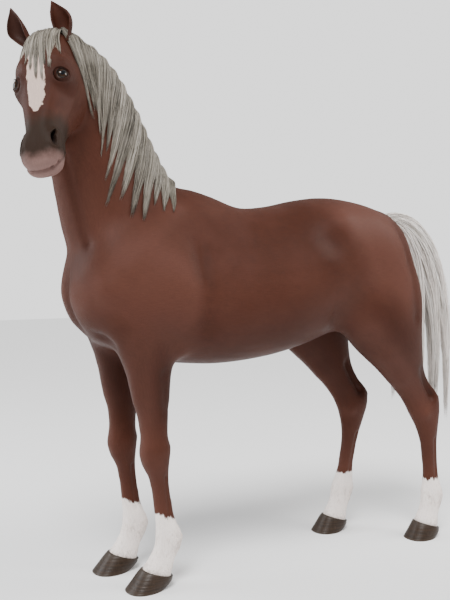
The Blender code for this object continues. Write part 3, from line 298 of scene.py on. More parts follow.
# The same on the head, as shares of its length: (along, out, left) twice, reach and height.
HEAD_RELIEF = (
    ((0.315, -0.01, 0.15), (0.385, 0.006, 0.144), 0.042, 0.012),  # brow
    ((0.195, -0.045, 0.145), (0.225, -0.04, 0.145), 0.04, -0.009),  # hollow above the eye
    ((0.41, -0.118, 0.15), (0.22, -0.165, 0.155), 0.036, 0.009),  # cheek bone
    ((0.42, -0.17, 0.145), (0.62, -0.145, 0.108), 0.02, 0.012),  # facial crest
    ((0.33, -0.31, 0.14), (0.3, -0.36, 0.13), 0.13, 0.012),  # muscle of the jaw
    ((0.48, -0.075, 0.125), (0.72, -0.07, 0.095), 0.06, -0.009),  # below the nasal bone
    ((0.54, -0.26, 0.11), (0.76, -0.19, 0.095), 0.04, -0.01),  # before the jaw
    ((0.38, 0.02, 0.065), (0.82, 0.0, 0.042), 0.045, 0.004),  # edge of the nasal bone
    ((0.33, -0.47, 0.0), (0.78, -0.25, 0.0), 0.045, -0.03),  # between the jaws
    ((0.82, -0.065, 0.104), (0.9, -0.055, 0.085), 0.04, 0.01),  # wing of the nostril
    ((0.935, -0.215, 0.0), (0.93, -0.205, 0.03), 0.036, 0.018),  # chin
    spot((0.84, -0.245, 0.0), 0.04, -0.012),  # groove of the chin
)
EYE_PLACE = (0.392, -0.036, 0.130)

# Ears: where they sit on the head, how they point, and at shares of their length their half widths and the
# turn of their cup in degrees.
EAR_PLACE = {"left": (0.030, -0.125, 0.100), "right": (-0.006, -0.112, 0.122)}
EAR_AXIS = {"left": (-1.0, 0.45, -0.11), "right": (-1.0, 0.45, 0.40)}
EAR_FRONT = (0.35, 1.0, 0.25)
EAR_SHARES = (0.0, 0.20, 0.45, 0.70, 0.88, 1.0)
EAR_HALF_WIDTHS = (0.021, 0.029, 0.038, 0.031, 0.015, 0.002)
EAR_CUP_ANGLES = (150, 130, 105, 80, 60, 40)

# The mane's root line on the crest, from the poll to the withers, and how far its locks hang from it:
# share of the line, drop and reach towards the head.
CREST = ((0.074, -0.870, 2.150), (0.052, -0.762, 2.115), (0.030, -0.672, 2.055), (0.012, -0.582, 1.945),
         (0.004, -0.500, 1.808), (0.0, -0.442, 1.706), (0.0, -0.385, 1.622))
MANE_HANG = ((0.0, 0.33, -0.11), (0.12, 0.36, -0.06), (0.25, 0.40, 0.04), (0.42, 0.43, 0.12),
             (0.55, 0.46, 0.16), (0.64, 0.44, 0.14), (0.77, 0.32, 0.09), (1.0, 0.14, 0.07))
MANE_LOCKS = 13
MANE_SPREAD = 0.085
MANE_THICKNESS = 0.030
# Forelock: its locks' roots across the head, then how far down and across it they end, as shares of it.
FORELOCK = ((-0.075, 0.240, -0.165), (-0.056, 0.330, -0.122), (-0.038, 0.300, -0.070),
            (-0.020, 0.380, -0.030), (-0.002, 0.440, 0.006), (0.016, 0.505, 0.046), (0.034, 0.330, 0.066),
            (0.050, 0.370, 0.080), (0.064, 0.405, 0.088), (0.078, 0.260, 0.140))
FORELOCK_ROOT = (-0.080, -0.190)
FORELOCK_THICKNESS = 0.022
# Tail: the dock, the top of the arch, and where each lock ends (x, y, z).
DOCK = np.array((0.0, 0.685, 1.480))
TAIL_ARCH = np.array((0.0, 0.885, 1.405))
TAIL_TIPS = ((0.000, 1.085, 0.480), (-0.050, 1.050, 0.560), (0.050, 1.040, 0.530), (0.000, 0.990, 0.520),
             (-0.062, 0.970, 0.610), (0.062, 0.960, 0.580), (0.000, 0.910, 0.560), (-0.052, 0.885, 0.640),
             (0.048, 0.870, 0.600), (0.000, 0.830, 0.640), (-0.010, 0.765, 0.620))
TAIL_THICKNESS = 0.074
TAIL_PIECES, TAIL_SMALL_LOCKS, TAIL_GATHER = 3, 7, 0.70
TAIL_WAVE, TAIL_FLUTTER = 0.009, 0.003

# The skin: voxels of the body and of the finer head, the plane where they join, and the coat's depth.
BODY_VOXEL = 0.0150
HEAD_VOXEL = 0.0048
SEAM_POINT = np.array((0.0, -0.885, 1.62))
SEAM_NORMAL = unit(np.array((0.0, -0.75, 0.66)))
COAT_DEPTH, COAT_BUMP = 0.002, 0.0011
# How much deeper the hollows are than on the solids, so that they show through the coat.
HOLLOWS = 1.45
# Rounds of smoothing on the head, the body, the seam between them and the lines where forms melt together.
HEAD_ROUNDS, BODY_ROUNDS, SEAM_ROUNDS, MELT_ROUNDS, HEAD_MELT_ROUNDS = 16, 2, 3, 28, 50
SEAM_REACH = 0.020
EAR_ROOT_REACH, EAR_ROOT_ROUNDS, EAR_RIM_ROUNDS = 0.040, 5, 2
# The skin is halved once below the forearms, round the nostrils and lips, and twice round the eyes.
FINE_LEGS, SMOOTH_LEGS = 0.70, 0.74
FINE_EYES = (0.0210, 0.0150)
FINE_NOSTRILS, FINE_LIPS = 0.032, 0.014

# Finer forms of the head than the solids hold, as (along, out, left) twice, reach and height.
FACE_RELIEF = (
    ((0.44, -0.168, 0.15), (0.6, -0.145, 0.115), 0.016, 0.003),  # facial crest, sharper
    ((0.48, -0.235, 0.15), (0.66, -0.18, 0.115), 0.009, 0.0015),  # vein of the face
    ((0.75, -0.095, 0.112), (0.86, -0.12, 0.116), 0.016, -0.006),  # crease behind the nostril
    ((0.78, -0.082, 0.11), (0.88, -0.086, 0.11), 0.02, 0.009),  # outer wing of the nostril
    ((0.78, -0.012, 0.075), (0.87, -0.018, 0.068), 0.018, 0.006),  # inner wing of the nostril
    ((0.83, -0.0, 0.0), (0.92, -0.02, 0.0), 0.03, -0.005),  # between the nostrils
    ((0.97, -0.12, 0.0), (0.965, -0.12, 0.06), 0.016, 0.004),  # fullness of the upper lip
    ((0.985, -0.085, 0.0), (0.94, -0.06, 0.0), 0.008, -0.004),  # furrow of the upper lip
    ((0.96, -0.188, 0.0), (0.95, -0.186, 0.055), 0.012, 0.005),  # lower lip
    ((1.0, -0.14, 0.0), (0.95, -0.15, 0.07), 0.032, 0.014),  # below the lower lip
    ((0.99, -0.062, 0.0), (0.965, -0.062, 0.07), 0.03, 0.006),  # upper lip
    ((0.93, -0.07, 0.112), (0.9, -0.11, 0.118), 0.026, 0.004),  # side of the upper lip
    ((1.003, -0.104, 0.0), (0.99, -0.112, 0.062), 0.0085, -0.017),  # parting of the lips
    ((0.99, -0.112, 0.062), (0.955, -0.112, 0.106), 0.0085, -0.016),  # side of the mouth
    ((0.955, -0.112, 0.106), (0.885, -0.155, 0.112), 0.0085, -0.014),  # corner of the mouth
    ((0.88, -0.155, 0.112), (0.865, -0.165, 0.11), 0.014, -0.006),  # hollow behind the corner
    ((0.835, -0.19, 0.098), (0.85, -0.17, 0.104), 0.01, 0.004),  # fold behind the corner
    ((0.29, 0.032, 0.086), (0.37, 0.026, 0.102), 0.012, 0.003),  # fold over the brow
)
NOSTRIL_LINE = ((0.755, -0.056, 0.104), (0.818, -0.036, 0.094), (0.880, -0.056, 0.090))
NOSTRIL_REACH = (0.0060, 0.0150)
NOSTRIL_DEPTH = 0.026
NOSTRIL_RIM, NOSTRIL_RIM_REACH = 0.0050, 0.007
NOSTRIL_WAY = (-0.35, -0.65, -0.60)
MOUTH_LINE = ((1.003, -0.106, 0.000), (0.955, -0.112, 0.106), (0.885, -0.155, 0.112))
# Which way the eye looks and where its inner corner lies: shares down the face, out of it and to its side.
EYE_FACING = (0.10, 0.71, 0.69)
EYE_CORNER = (0.72, 0.45, -0.45)
LID_HALF_LENGTH = 0.0240
LID_UPPER = 0.0195
LID_LOWER = 0.0162
LID_THICKNESS = 0.0030
LID_FOLD = 0.0075
LID_MERGE = 0.009
# Skin this near to the lids' rim is drawn onto it; then it rises to the lid and joins the face.
LID_SNAP = 0.0008
LID_RISE, LID_BLEND = (0.002, 0.013), (0.014, 0.030)
LID_FOLD_UPPER, LID_FOLD_LOWER, LID_FOLD_REACH = 0.0014, 0.0006, 0.0020
LID_TUCK, LID_TUCK_REACH = 0.005, 0.002
LID_WET, LID_WET_REACH, LID_WETTEST = 0.0004, 0.0016, 0.85
# Round the eye the face is a dome: how far out it stands, its radius, and where it starts to end and ends.
SOCKET_HEIGHT, SOCKET_ROUND, SOCKET_START, SOCKET_REACH = 0.0148, 0.120, 0.024, 0.084
BROW_HEIGHT = 0.0035
BROW_PLACE, BROW_REACH = (-0.003, 0.025), (0.024, 0.010)
# Lines on the head near which neighbouring forms melt into each other.
HEAD_MELT = (
    ((0.0, -0.12, 0.12), (0.225, -0.24, 0.18), 0.034),
    ((0.225, -0.24, 0.18), (0.425, -0.374, 0.128), 0.034),
    ((0.425, -0.374, 0.128), (0.48, -0.384, 0.094), 0.024),
)


def through(knots, rows, places):
    """A cubic Hermite curve through the rows, each tangent taken from its neighbours."""
    slope = np.gradient(rows, knots, axis=0)
    i = np.clip(np.searchsorted(knots, places, side="right") - 1, 0, len(knots) - 2)
    span = (knots[i + 1] - knots[i])[:, None]
    u = (places - knots[i])[:, None] / span
    return ((1 + 2 * u) * (1 - u) ** 2 * rows[i] + u * (1 - u) ** 2 * span * slope[i]
            + u * u * (3 - 2 * u) * rows[i + 1] + u * u * (u - 1) * span * slope[i + 1])


def grid_faces(rows, columns, closed=True):
    """Quads between neighbouring points of a grid, whose columns close into rings where asked."""
    j = np.arange(columns if closed else columns - 1)
    k = (j + 1) % columns
    start = np.arange(rows - 1)[:, None] * columns
    return np.stack((start + j, start + k, start + columns + k, start + columns + j), -1).reshape(-1, 4)


def loft(stations, step=0.012, around=40):
    """The skin through the stations: at each, the middle plus the front half times a power of the cosine,
    plus the side times the half width times a power of the sine, closed by a fan at either end."""
    rows = np.array([(*front, *back, *side, *rest) for front, back, side, *rest in stations])
    middles = (rows[:, 0:3] + rows[:, 3:6]) / 2
    knots = np.concatenate(([0], np.cumsum(np.linalg.norm(np.diff(middles, axis=0), axis=1))))
    count = max(8, round(knots[-1] / step))
    rows = through(knots, rows, np.linspace(0, knots[-1], count))
    middle, half = (rows[:, 0:3] + rows[:, 3:6]) / 2, (rows[:, 0:3] - rows[:, 3:6]) / 2
    side = rows[:, 6:9] / np.linalg.norm(rows[:, 6:9], axis=1)[:, None] * rows[:, 9:10]
    angle = np.linspace(0, 2 * np.pi, around, endpoint=False)
    power = 2 / rows[:, 10:11]
    rise = np.sign(np.cos(angle)) * np.abs(np.cos(angle)) ** power
    spread = np.sign(np.sin(angle)) * np.abs(np.sin(angle)) ** power * (1 + rows[:, 11:12] * np.cos(angle))
    rings = middle[:, None] + half[:, None] * rise[..., None] + side[:, None] * spread[..., None]
    points = np.concatenate((rings.reshape(-1, 3), middle[:1], middle[-1:]))
    j = np.arange(around)
    last = (count - 1) * around
    start_fan = np.stack((np.full(around, count * around), (j + 1) % around, j), -1)
    end_fan = np.stack((np.full(around, count * around + 1), last + j, last + (j + 1) % around), -1)
    return points, grid_faces(count, around), np.concatenate((start_fan, end_fan))


def show(name, data):
    """An object of that mesh, light or camera, in the scene."""
    made = bpy.data.objects.new(name, data)
    bpy.context.scene.collection.objects.link(made)
    return made


def new_object(name, points, quads, triangles=(), uv=None, values=None):
    """An object from arrays: points, quads and triangles, with an optional OFBake map and point values."""
    quads = np.asarray(quads, np.int32).reshape(-1, 4)
    triangles = np.asarray(triangles, np.int32).reshape(-1, 3)
    corners = np.concatenate((quads.ravel(), triangles.ravel())).astype(np.int32)
    starts = np.concatenate((np.arange(len(quads)) * 4, quads.size + np.arange(len(triangles)) * 3))
    mesh = bpy.data.meshes.new(name)
    mesh.vertices.add(len(points))
    mesh.vertices.foreach_set("co", np.asarray(points, np.float32).ravel())
    mesh.loops.add(len(corners))
    mesh.loops.foreach_set("vertex_index", corners)
    mesh.polygons.add(len(starts))
    mesh.polygons.foreach_set("loop_start", starts.astype(np.int32))
    mesh.update(calc_edges=True)
    mesh.polygons.foreach_set("use_smooth", np.ones(len(starts), bool))
    if uv is not None:
        mesh.uv_layers.new(name="OFBake").uv.foreach_set("vector", uv[corners].astype(np.float32).ravel())
    for key, value in (values or {}).items():
        store(mesh, key, value)
    return show(name, mesh)


def store(mesh, key, value):
    """Keeps one number per point as an attribute that materials can read."""
    mesh.attributes.new(key, "FLOAT", "POINT").data.foreach_set("value", np.asarray(value, np.float32))


def read(items, key, width=1, kind=np.float32):
    """That value of all the items, as an array with so many numbers in a row."""
    values = np.empty(len(items) * width, kind)
    items.foreach_get(key, values)
    return values.reshape(-1, width) if width > 1 else values


def coordinates(mesh):
    return read(mesh.vertices, "co", 3).astype(float)


def point_normals(mesh):
    return read(mesh.vertex_normals, "vector", 3).astype(float)


def place_points(mesh, points):
    """Moves the mesh's points to these places."""
    mesh.vertices.foreach_set("co", points.astype(np.float32).ravel())
    mesh.update()


def edge_ends(mesh):
    """The two points of each edge."""
    return read(mesh.edges, "vertices", 2, np.int32)


def shift_at(height, pair, side):
    heights, shifts = np.array(STANCE[pair, side]).T
    return np.interp(height, heights, shifts)


def standing(stations, pair, side):
    """The left leg's stations moved to this leg's stance, and mirrored for the right."""
    placed = []
    for front, back, across, *rest in stations:
        shift = shift_at((front[2] + back[2]) / 2, pair, side)
        ends = [(SIDES[side] * x, y + shift, z) for x, y, z in (front, back)]
        placed.append((*ends, across, *rest))
    return placed


def neutral(points):
    """The points on a left half that stands square: mirrored, and without the legs' shifts."""
    moved = points.copy()
    for (pair, side) in STANCE:
        own = (moved[:, 0] * SIDES[side] > 0) & ((moved[:, 1] < -0.2) == (pair == "fore"))
        own &= moved[:, 1] > -0.75
        moved[own, 1] -= shift_at(moved[own, 2], pair, side)
    moved[:, 0] = np.abs(moved[:, 0])
    return moved


def head_shares(points):
    """Where the points lie on the head, as shares of its length along, out and to its side."""
    place = (points - POLL) / HEAD_LENGTH
    return np.stack((place @ DOWN_FACE, place @ OUT_OF_FACE, np.abs(place @ HEAD_LEFT)), 1)


def distance_to_line(points, start, end):
    start, line = np.array(start, float), np.subtract(end, start)
    share = np.clip((points - start) @ line / max(line @ line, 1e-12), 0, 1)
    return np.linalg.norm(points - start - share[:, None] * line, axis=1)


def nearness(points, start, end, reach):
    """A bell over the distance to the line from start to end: one on it, near nothing at twice reach."""
    return np.exp(-((distance_to_line(points, start, end) / reach) ** 2))


def smoothstep(low, high, value):
    share = np.clip((value - low) / (high - low), 0, 1)
    return share * share * (3 - 2 * share)


def smoothed(points, edges, weight, rounds):
    """Moves each point half its weight of the way to the middle of its neighbours, round by round."""
    ends = np.concatenate((edges, edges[:, ::-1]))
    count = np.bincount(ends[:, 0], minlength=len(points))
    for _ in range(rounds):
        neighbours = points[ends[:, 1]].T
        total = np.stack([np.bincount(ends[:, 0], values, len(points)) for values in neighbours], 1)
        points = points + 0.5 * weight[:, None] * (total / np.maximum(count, 1)[:, None] - points)
    return points


def melted(pieces, name, voxel):
    """The pieces' overlapping shells as one skin, from a voxel remesh of their joined mesh."""
    for piece in bpy.context.scene.objects:
        piece.select_set(piece in pieces)
    bpy.context.view_layer.objects.active = pieces[0]
    bpy.ops.object.join()
    source = pieces[0]
    remesh = source.modifiers.new("melt together", "REMESH")
    remesh.mode = "VOXEL"
    remesh.voxel_size = voxel
    mesh = bpy.data.meshes.new_from_object(source.evaluated_get(bpy.context.evaluated_depsgraph_get()))
    bpy.data.objects.remove(source)
    mesh.name = name
    return mesh


def ear_frame(side):
    """Base, axis towards the tip, direction of the opening and direction across an ear."""
    flip = SIDES[side]
    along, out, away = EAR_PLACE[side]
    base = on_head(along, out, away * flip)
    along, out, away = EAR_AXIS[side]
    axis = unit(on_head(along, out, away * flip) - POLL)
    front = on_head(EAR_FRONT[0], EAR_FRONT[1], EAR_FRONT[2] * flip) - POLL
    front = unit(front - axis * (front @ axis))
    across = np.cross(axis, front) * np.sign(np.cross(axis, front) @ HEAD_LEFT) * flip
    return base, axis, front, across


def ear_sheet(side, share, turn, depth=0.0):
    """Points of an ear: at each share of its length, an arc of the cup open to the front, whose radius is
    the half width over the sine of the cup's angle, on a middle that bows outwards. Depth is in the wall."""
    base, axis, front, across = ear_frame(side)
    share, turn = np.atleast_1d(share)[:, None], np.atleast_1d(turn)
    profile = through(np.array(EAR_SHARES), np.array((EAR_CUP_ANGLES, EAR_HALF_WIDTHS), float).T, share[:, 0])
    cup = np.radians(profile[:, :1])
    radius = np.maximum(profile[:, 1:], 0.0015) / np.sin(np.minimum(cup, np.pi / 2))
    angle = cup * turn
    bow = across * (0.014 * np.sin(np.pi * share) - 0.006 * share ** 2)[..., None]
    middle = base + axis * EAR_LENGTH * share[..., None] + bow
    wall = np.minimum(EAR_THICKNESS * (1 - 0.35 * share), 0.8 * radius) * depth
    centre = 0.5 * radius * (1 + np.cos(cup))
    return (middle + across * ((radius - wall) * np.sin(angle))[..., None]
            + front * (centre - (radius - wall) * np.cos(angle))[..., None])


def make_ear(side):
    """The outer and the inner sheet of an ear, closed along their borders."""
    rows, columns = 40, 25
    shares, turns = np.linspace(0, 1, rows), np.linspace(-1, 1, columns)
    outer, inner = ear_sheet(side, shares, turns), ear_sheet(side, shares, turns, depth=1.0)
    ring = np.concatenate((outer, inner[:, ::-1]), axis=1)
    quads = grid_faces(rows, 2 * columns)
    j = np.arange(columns - 1)
    cap = np.stack((j, j + 1, 2 * columns - 2 - j, 2 * columns - 1 - j), -1)
    quads = np.concatenate((quads, cap[:, ::-1], cap + (rows - 1) * 2 * columns))
    return new_object(f"ear_{side}", ring.reshape(-1, 3), quads)


def halved(mesh, shell, keep_head):
    """Adds the mesh's side of the seam plane to the shell."""
    part = bmesh.new()
    part.from_mesh(mesh)
    bmesh.ops.bisect_plane(part, geom=[*part.verts, *part.edges, *part.faces], plane_co=Vector(SEAM_POINT),
                           plane_no=Vector(SEAM_NORMAL), clear_outer=not keep_head, clear_inner=keep_head)
    part.to_mesh(mesh)
    part.free()
    shell.from_mesh(mesh)
    bpy.data.meshes.remove(mesh)


def refined(mesh, chosen):
    """Halves the edges of the chosen faces."""
    shell = bmesh.new()
    shell.from_mesh(mesh)
    shell.faces.ensure_lookup_table()
    edges = {edge for index in np.flatnonzero(chosen) for edge in shell.faces[index].edges}
    bmesh.ops.subdivide_edges(shell, edges=list(edges), cuts=1, use_grid_fill=True)
    shell.to_mesh(mesh)
    shell.free()


def face_middles(mesh):
    """The middle of each face."""
    return read(mesh.polygons, "center", 3).astype(float)


def raw_skin():
    """The melted lofts of body and head, cut at the seam plane, bridged there and smoothed."""
    body = [new_object("loft", *loft(TRUNK)), new_object("loft", *loft(NECK))]
    for pair, side in STANCE:
        body.append(new_object("loft", *loft(standing(LEGS[pair], pair, side))))
    head = [new_object("loft", *loft(NECK[2:], step=0.008, around=96)),
            new_object("loft", *loft(HEAD, step=0.006, around=96))]
    shell = bmesh.new()
    halved(melted(body, "body", BODY_VOXEL), shell, keep_head=False)
    halved(melted(head, "head", HEAD_VOXEL), shell, keep_head=True)
    bmesh.ops.bridge_loops(shell, edges=[edge for edge in shell.edges if edge.is_boundary])
    bmesh.ops.recalc_face_normals(shell, faces=shell.faces)
    mesh = bpy.data.meshes.new("skin")
    shell.to_mesh(mesh)
    shell.free()
    points, edges = coordinates(mesh), edge_ends(mesh)
    away = (points - SEAM_POINT) @ SEAM_NORMAL
    points = smoothed(points, edges, np.where(away > 0, 1.0, 0.0), HEAD_ROUNDS)
    points = smoothed(points, edges, np.where(away > 0, 0.0, 1.0), BODY_ROUNDS)
    points = smoothed(points, edges, np.exp(-(away / SEAM_REACH) ** 2), SEAM_ROUNDS)
    weight = np.max([nearness(neutral(points), *line) for line in MELT], axis=0)
    points = smoothed(points, edges, weight, MELT_ROUNDS)
    weight = np.max([nearness(head_shares(points), *line) for line in HEAD_MELT], axis=0)
    place_points(mesh, smoothed(points, edges, weight, HEAD_MELT_ROUNDS))
    return with_ears(mesh)


def with_ears(mesh):
    """The skin united with both ears, and smoothed where they grow out of it and along their rims."""
    skin = show("skin", mesh)
    for side in SIDES:
        ear = make_ear(side)
        union = skin.modifiers.new("ear", "BOOLEAN")
        union.operation = "UNION"
        union.solver = "MANIFOLD"
        union.object = ear
    mesh = bpy.data.meshes.new_from_object(skin.evaluated_get(bpy.context.evaluated_depsgraph_get()))
    for made in (skin, *[union.object for union in skin.modifiers]):
        bpy.data.objects.remove(made)
    points = coordinates(mesh)
    bases = [ear_frame(side)[0] for side in SIDES]
    root = np.max([nearness(points, base, base, EAR_ROOT_REACH) for base in bases], axis=0)
    rim = np.max([nearness(points, *ear_line(side), 0.05) > 0.2 for side in SIDES], axis=0)
    points = smoothed(points, edge_ends(mesh), root, EAR_ROOT_ROUNDS)
    place_points(mesh, smoothed(points, edge_ends(mesh), np.where(rim, 0.6, 0.0), EAR_RIM_ROUNDS))
    return mesh


def ear_line(side):
    """A line up the middle of an ear, from a little above its base to its tip."""
    base, axis, front, _ = ear_frame(side)
    return base + axis * 0.05 + front * 0.01, base + axis * EAR_LENGTH


def raise_relief(mesh):
    """Moves the skin along its normals by the muscles, hollows and folds, and in by the coat's depth."""
    points, normals = coordinates(mesh), point_normals(mesh)
    body, head = neutral(points), head_shares(points)
    height = sum(nearness(body, start, end, reach) * rise for start, end, reach, rise in RELIEF)
    face = sum(nearness(head, start, end, reach) * rise for start, end, reach, rise in HEAD_RELIEF)
    ear = np.max([nearness(points, *ear_line(side), 0.04) for side in SIDES], axis=0)
    flesh = 1 - smoothstep(0.2, 0.6, ear)
    height = np.where(height < 0, height * HOLLOWS, height)
    place_points(mesh, points + normals * ((height + face * HEAD_LENGTH - COAT_DEPTH) * flesh)[:, None])


def head_way(along, out, left, side):
    """The direction with those shares down the face, out of it and towards the named side."""
    return unit(DOWN_FACE * along + OUT_OF_FACE * out + HEAD_LEFT * left * SIDES[side])


def eye_frame(side):
    """The eyeball's centre, the way that it looks, along its lids to their outer corner, and up its face."""
    outward, corner = head_way(*EYE_FACING, side), head_way(*EYE_CORNER, side)
    along = unit(outward * (corner @ outward) - corner)
    up = np.cross(outward, along)
    up *= -np.sign(up @ DOWN_FACE)
    return on_head(EYE_PLACE[0], EYE_PLACE[1], EYE_PLACE[2] * SIDES[side]), outward, along, up


def from_eyes(points):
    """How far each point is from the middle of the nearer eyeball."""
    return np.min([np.linalg.norm(points - eye_frame(side)[0], axis=1) for side in SIDES], axis=0)


def lid_distance(across, up):
    """How far a point is outside the almond of the lids' opening, along its line from the middle."""
    height = np.where(up > 0, LID_UPPER, LID_LOWER)
    almond = (np.abs(across) / LID_HALF_LENGTH) ** 2 + (np.abs(up) / height) ** 1.75
    return np.hypot(across, up) * (1 - 1 / np.sqrt(np.maximum(almond, 1e-6)))


def shape_eye(mesh, side):
    """Lays the skin round an eye as lids: on the ball at the rim of the almond, a lid's thickness over it
    outside, blending into the face, and behind the ball inside the opening."""
    points = coordinates(mesh)
    centre, outward, along, up = eye_frame(side)
    rel = points - centre
    a, b, w = rel @ along, rel @ up, rel @ outward
    near = (np.hypot(a, b) < SOCKET_REACH) & (w > -0.03)
    a, b, w = a[near], b[near], w[near]
    distance = lid_distance(a, b)
    snap = np.abs(distance) < LID_SNAP
    pull = np.where(snap, 1 - distance / np.maximum(np.hypot(a, b), 1e-6), 1.0)
    a, b, distance = a * pull, b * pull, np.where(snap, 0.0, distance)
    flat = a * a + b * b
    reach = np.sqrt(flat)
    w += (SOCKET_HEIGHT - flat / (2 * SOCKET_ROUND) - w) * (1 - smoothstep(SOCKET_START, SOCKET_REACH, reach))
    brow = ((a - BROW_PLACE[0]) / BROW_REACH[0]) ** 2 + ((b - BROW_PLACE[1]) / BROW_REACH[1]) ** 2
    w += BROW_HEIGHT * np.exp(-brow)
    ball = np.sqrt(np.maximum(EYE_RADIUS ** 2 - flat, 0))
    lid = np.sqrt(np.maximum((EYE_RADIUS + LID_THICKNESS) ** 2 - flat, 0))
    face = 0.5 * (lid + w + np.sqrt((lid - w) ** 2 + LID_MERGE ** 2))
    round_rim = np.sqrt(1 - (1 - np.clip(distance / LID_THICKNESS, 0, 1)) ** 2)
    rise = smoothstep(*LID_RISE, distance)
    fold = np.exp(-((distance - LID_FOLD) / LID_FOLD_REACH) ** 2)
    fold *= np.where(b > 0, LID_FOLD_UPPER, LID_FOLD_LOWER)
    outside = ball + ((lid - ball) * (1 - rise) + (face - ball) * rise) * round_rim - fold
    outside += (w - outside) * smoothstep(*LID_BLEND, distance)
    inside = ball - LID_TUCK * np.clip(-distance / LID_TUCK_REACH, 0, 1)
    points[near] = (centre + a[:, None] * along + b[:, None] * up
                    + np.where(distance >= 0, outside, inside)[:, None] * outward)
    place_points(mesh, points)
    dark = read(mesh.attributes["dark"].data, "value")
    wet = np.exp(-((distance + LID_WET) / LID_WET_REACH) ** 2) + (distance < -LID_WET)
    dark[near] = np.maximum(dark[near], np.clip(wet, 0, LID_WETTEST))
    mesh.attributes["dark"].data.foreach_set("value", dark)


def shape_face(mesh):
    """Presses nostrils and lips into the refined muzzle along its normals."""
    points, normals = coordinates(mesh), point_normals(mesh)
    head = head_shares(points)
    height = sum(nearness(head, start, end, reach) * rise for start, end, reach, rise in FACE_RELIEF)
    points += normals * (height * HEAD_LENGTH)[:, None]
    away = np.minimum(distance_to_line(head, *NOSTRIL_LINE[:2]), distance_to_line(head, *NOSTRIL_LINE[1:]))
    reach = np.interp(head[:, 0], (NOSTRIL_LINE[0][0], NOSTRIL_LINE[2][0]), NOSTRIL_REACH)
    hole = 1 / (1 + (away / reach) ** 6)
    rim = np.exp(-(((away - 1.5 * reach) / NOSTRIL_RIM_REACH) ** 2))
    flip = np.sign((points - POLL) @ HEAD_LEFT)[:, None]
    down, out, left = NOSTRIL_WAY
    inward = unit_rows(DOWN_FACE * down + HEAD_LEFT * flip * left + OUT_OF_FACE * out)
    points += inward * (hole * NOSTRIL_DEPTH)[:, None] + normals * (rim * NOSTRIL_RIM)[:, None]
    # The nostrils are darkened as far as they are pressed in: their own dark skin, deepened by painted shade.
    store(mesh, "dark", np.clip(hole * 1.9 - 0.15, 0, 1))
    place_points(mesh, points)


def unit_rows(vectors):
    """The vectors along the last axis, each drawn to a length of one."""
    return vectors / np.maximum(np.linalg.norm(vectors, axis=-1, keepdims=True), 1e-9)


def make_skin():
    """One skin over trunk, neck, head, ears and legs, refined where the forms are fine."""
    mesh = raw_skin()
    refined(mesh, face_middles(mesh)[:, 2] < FINE_LEGS)
    points = coordinates(mesh)
    low_down = np.where(points[:, 2] < SMOOTH_LEGS, 1.0, 0.0)
    place_points(mesh, smoothed(points, edge_ends(mesh), low_down, 3))
    raise_relief(mesh)
    for reach in FINE_EYES:
        refined(mesh, from_eyes(face_middles(mesh)) < EYE_RADIUS + reach)
    head = head_shares(face_middles(mesh))
    lips = np.minimum(distance_to_line(head, *MOUTH_LINE[:2]), distance_to_line(head, *MOUTH_LINE[1:]))
    nostrils = distance_to_line(head, *NOSTRIL_LINE[::2])
    refined(mesh, (nostrils < FINE_NOSTRILS) | (lips < FINE_LIPS))
    shape_face(mesh)
    for side in SIDES:
        shape_eye(mesh, side)
    mesh.polygons.foreach_set("use_smooth", np.ones(len(mesh.polygons), bool))
    return mesh


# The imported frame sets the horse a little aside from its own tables: by this much.
HOOF_PLACE = (0.125, -0.644)
hoof_low, hoof_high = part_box("hoof_fore_left")
SHIFT = np.array(((hoof_low[0] + hoof_high[0]) / 2 - HOOF_PLACE[0], hoof_low[1] - HOOF_PLACE[1], 0.0))

# Charts of the skin: where each starts, the way its hair lies, where its map is cut open (opposite to this
# direction), its reach along the hair and its mean radius.
NECK_WAY = unit(np.array((-0.10, 0.50, -0.86)))
CHARTS = [
    ((0.0, 0.0, 1.22), (0.0, 1.0, 0.0), (0.0, 0.0, 1.0), (-0.90, 0.85), 0.32),
    (POLL, NECK_WAY, (0.0, 0.86, 0.50), (-0.15, 1.15), 0.16),
    (on_head(0.0, -0.15), DOWN_FACE, OUT_OF_FACE, (-0.12, 0.64), 0.10),
]
for leg, flip in (("fore", 1), ("fore", -1), ("hind", 1), ("hind", -1)):
    CHARTS.append(((0.135 * flip, 0.0, 1.0), (0.0, 0.0, -1.0), (flip, 0.0, 0.0), (-0.02, 1.0), 0.05))
for side in SIDES:
    base, axis, front, across = ear_frame(side)
    CHARTS += [(base + front * 0.01, axis, -front, (-0.04, EAR_LENGTH + 0.01), 0.03)] * 2
BODY_CHART, NECK_CHART, FACE_CHART, LEG_CHARTS, EAR_CHARTS = 0, 1, 2, 3, 7
INSIDE_EARS = (8, 10)
ATLAS_COLUMNS, ATLAS_ROWS = 4, 3
ATLAS_MARGIN = 0.02
TUFT_PATCH = 0.003
HEAD_EDGE = ((-0.10, -0.11), (0.0, -0.13), (0.225, -0.25), (0.38, -0.36), (0.46, -0.40), (0.49, -1.0))
LEG_TOP = 0.98


def leg_middle(points, pair, side):
    """The Y of a leg's middle at the points' heights."""
    rows = LEGS[pair] + HOOVES[pair]
    heights = np.array([(front[2] + back[2]) / 2 for front, back, *_ in rows])
    middles = np.array([(front[1] + back[1]) / 2 for front, back, *_ in rows])
    order = np.argsort(heights)
    middle = np.interp(points[:, 2], heights[order], middles[order])
    return middle + shift_at(points[:, 2], pair, side)


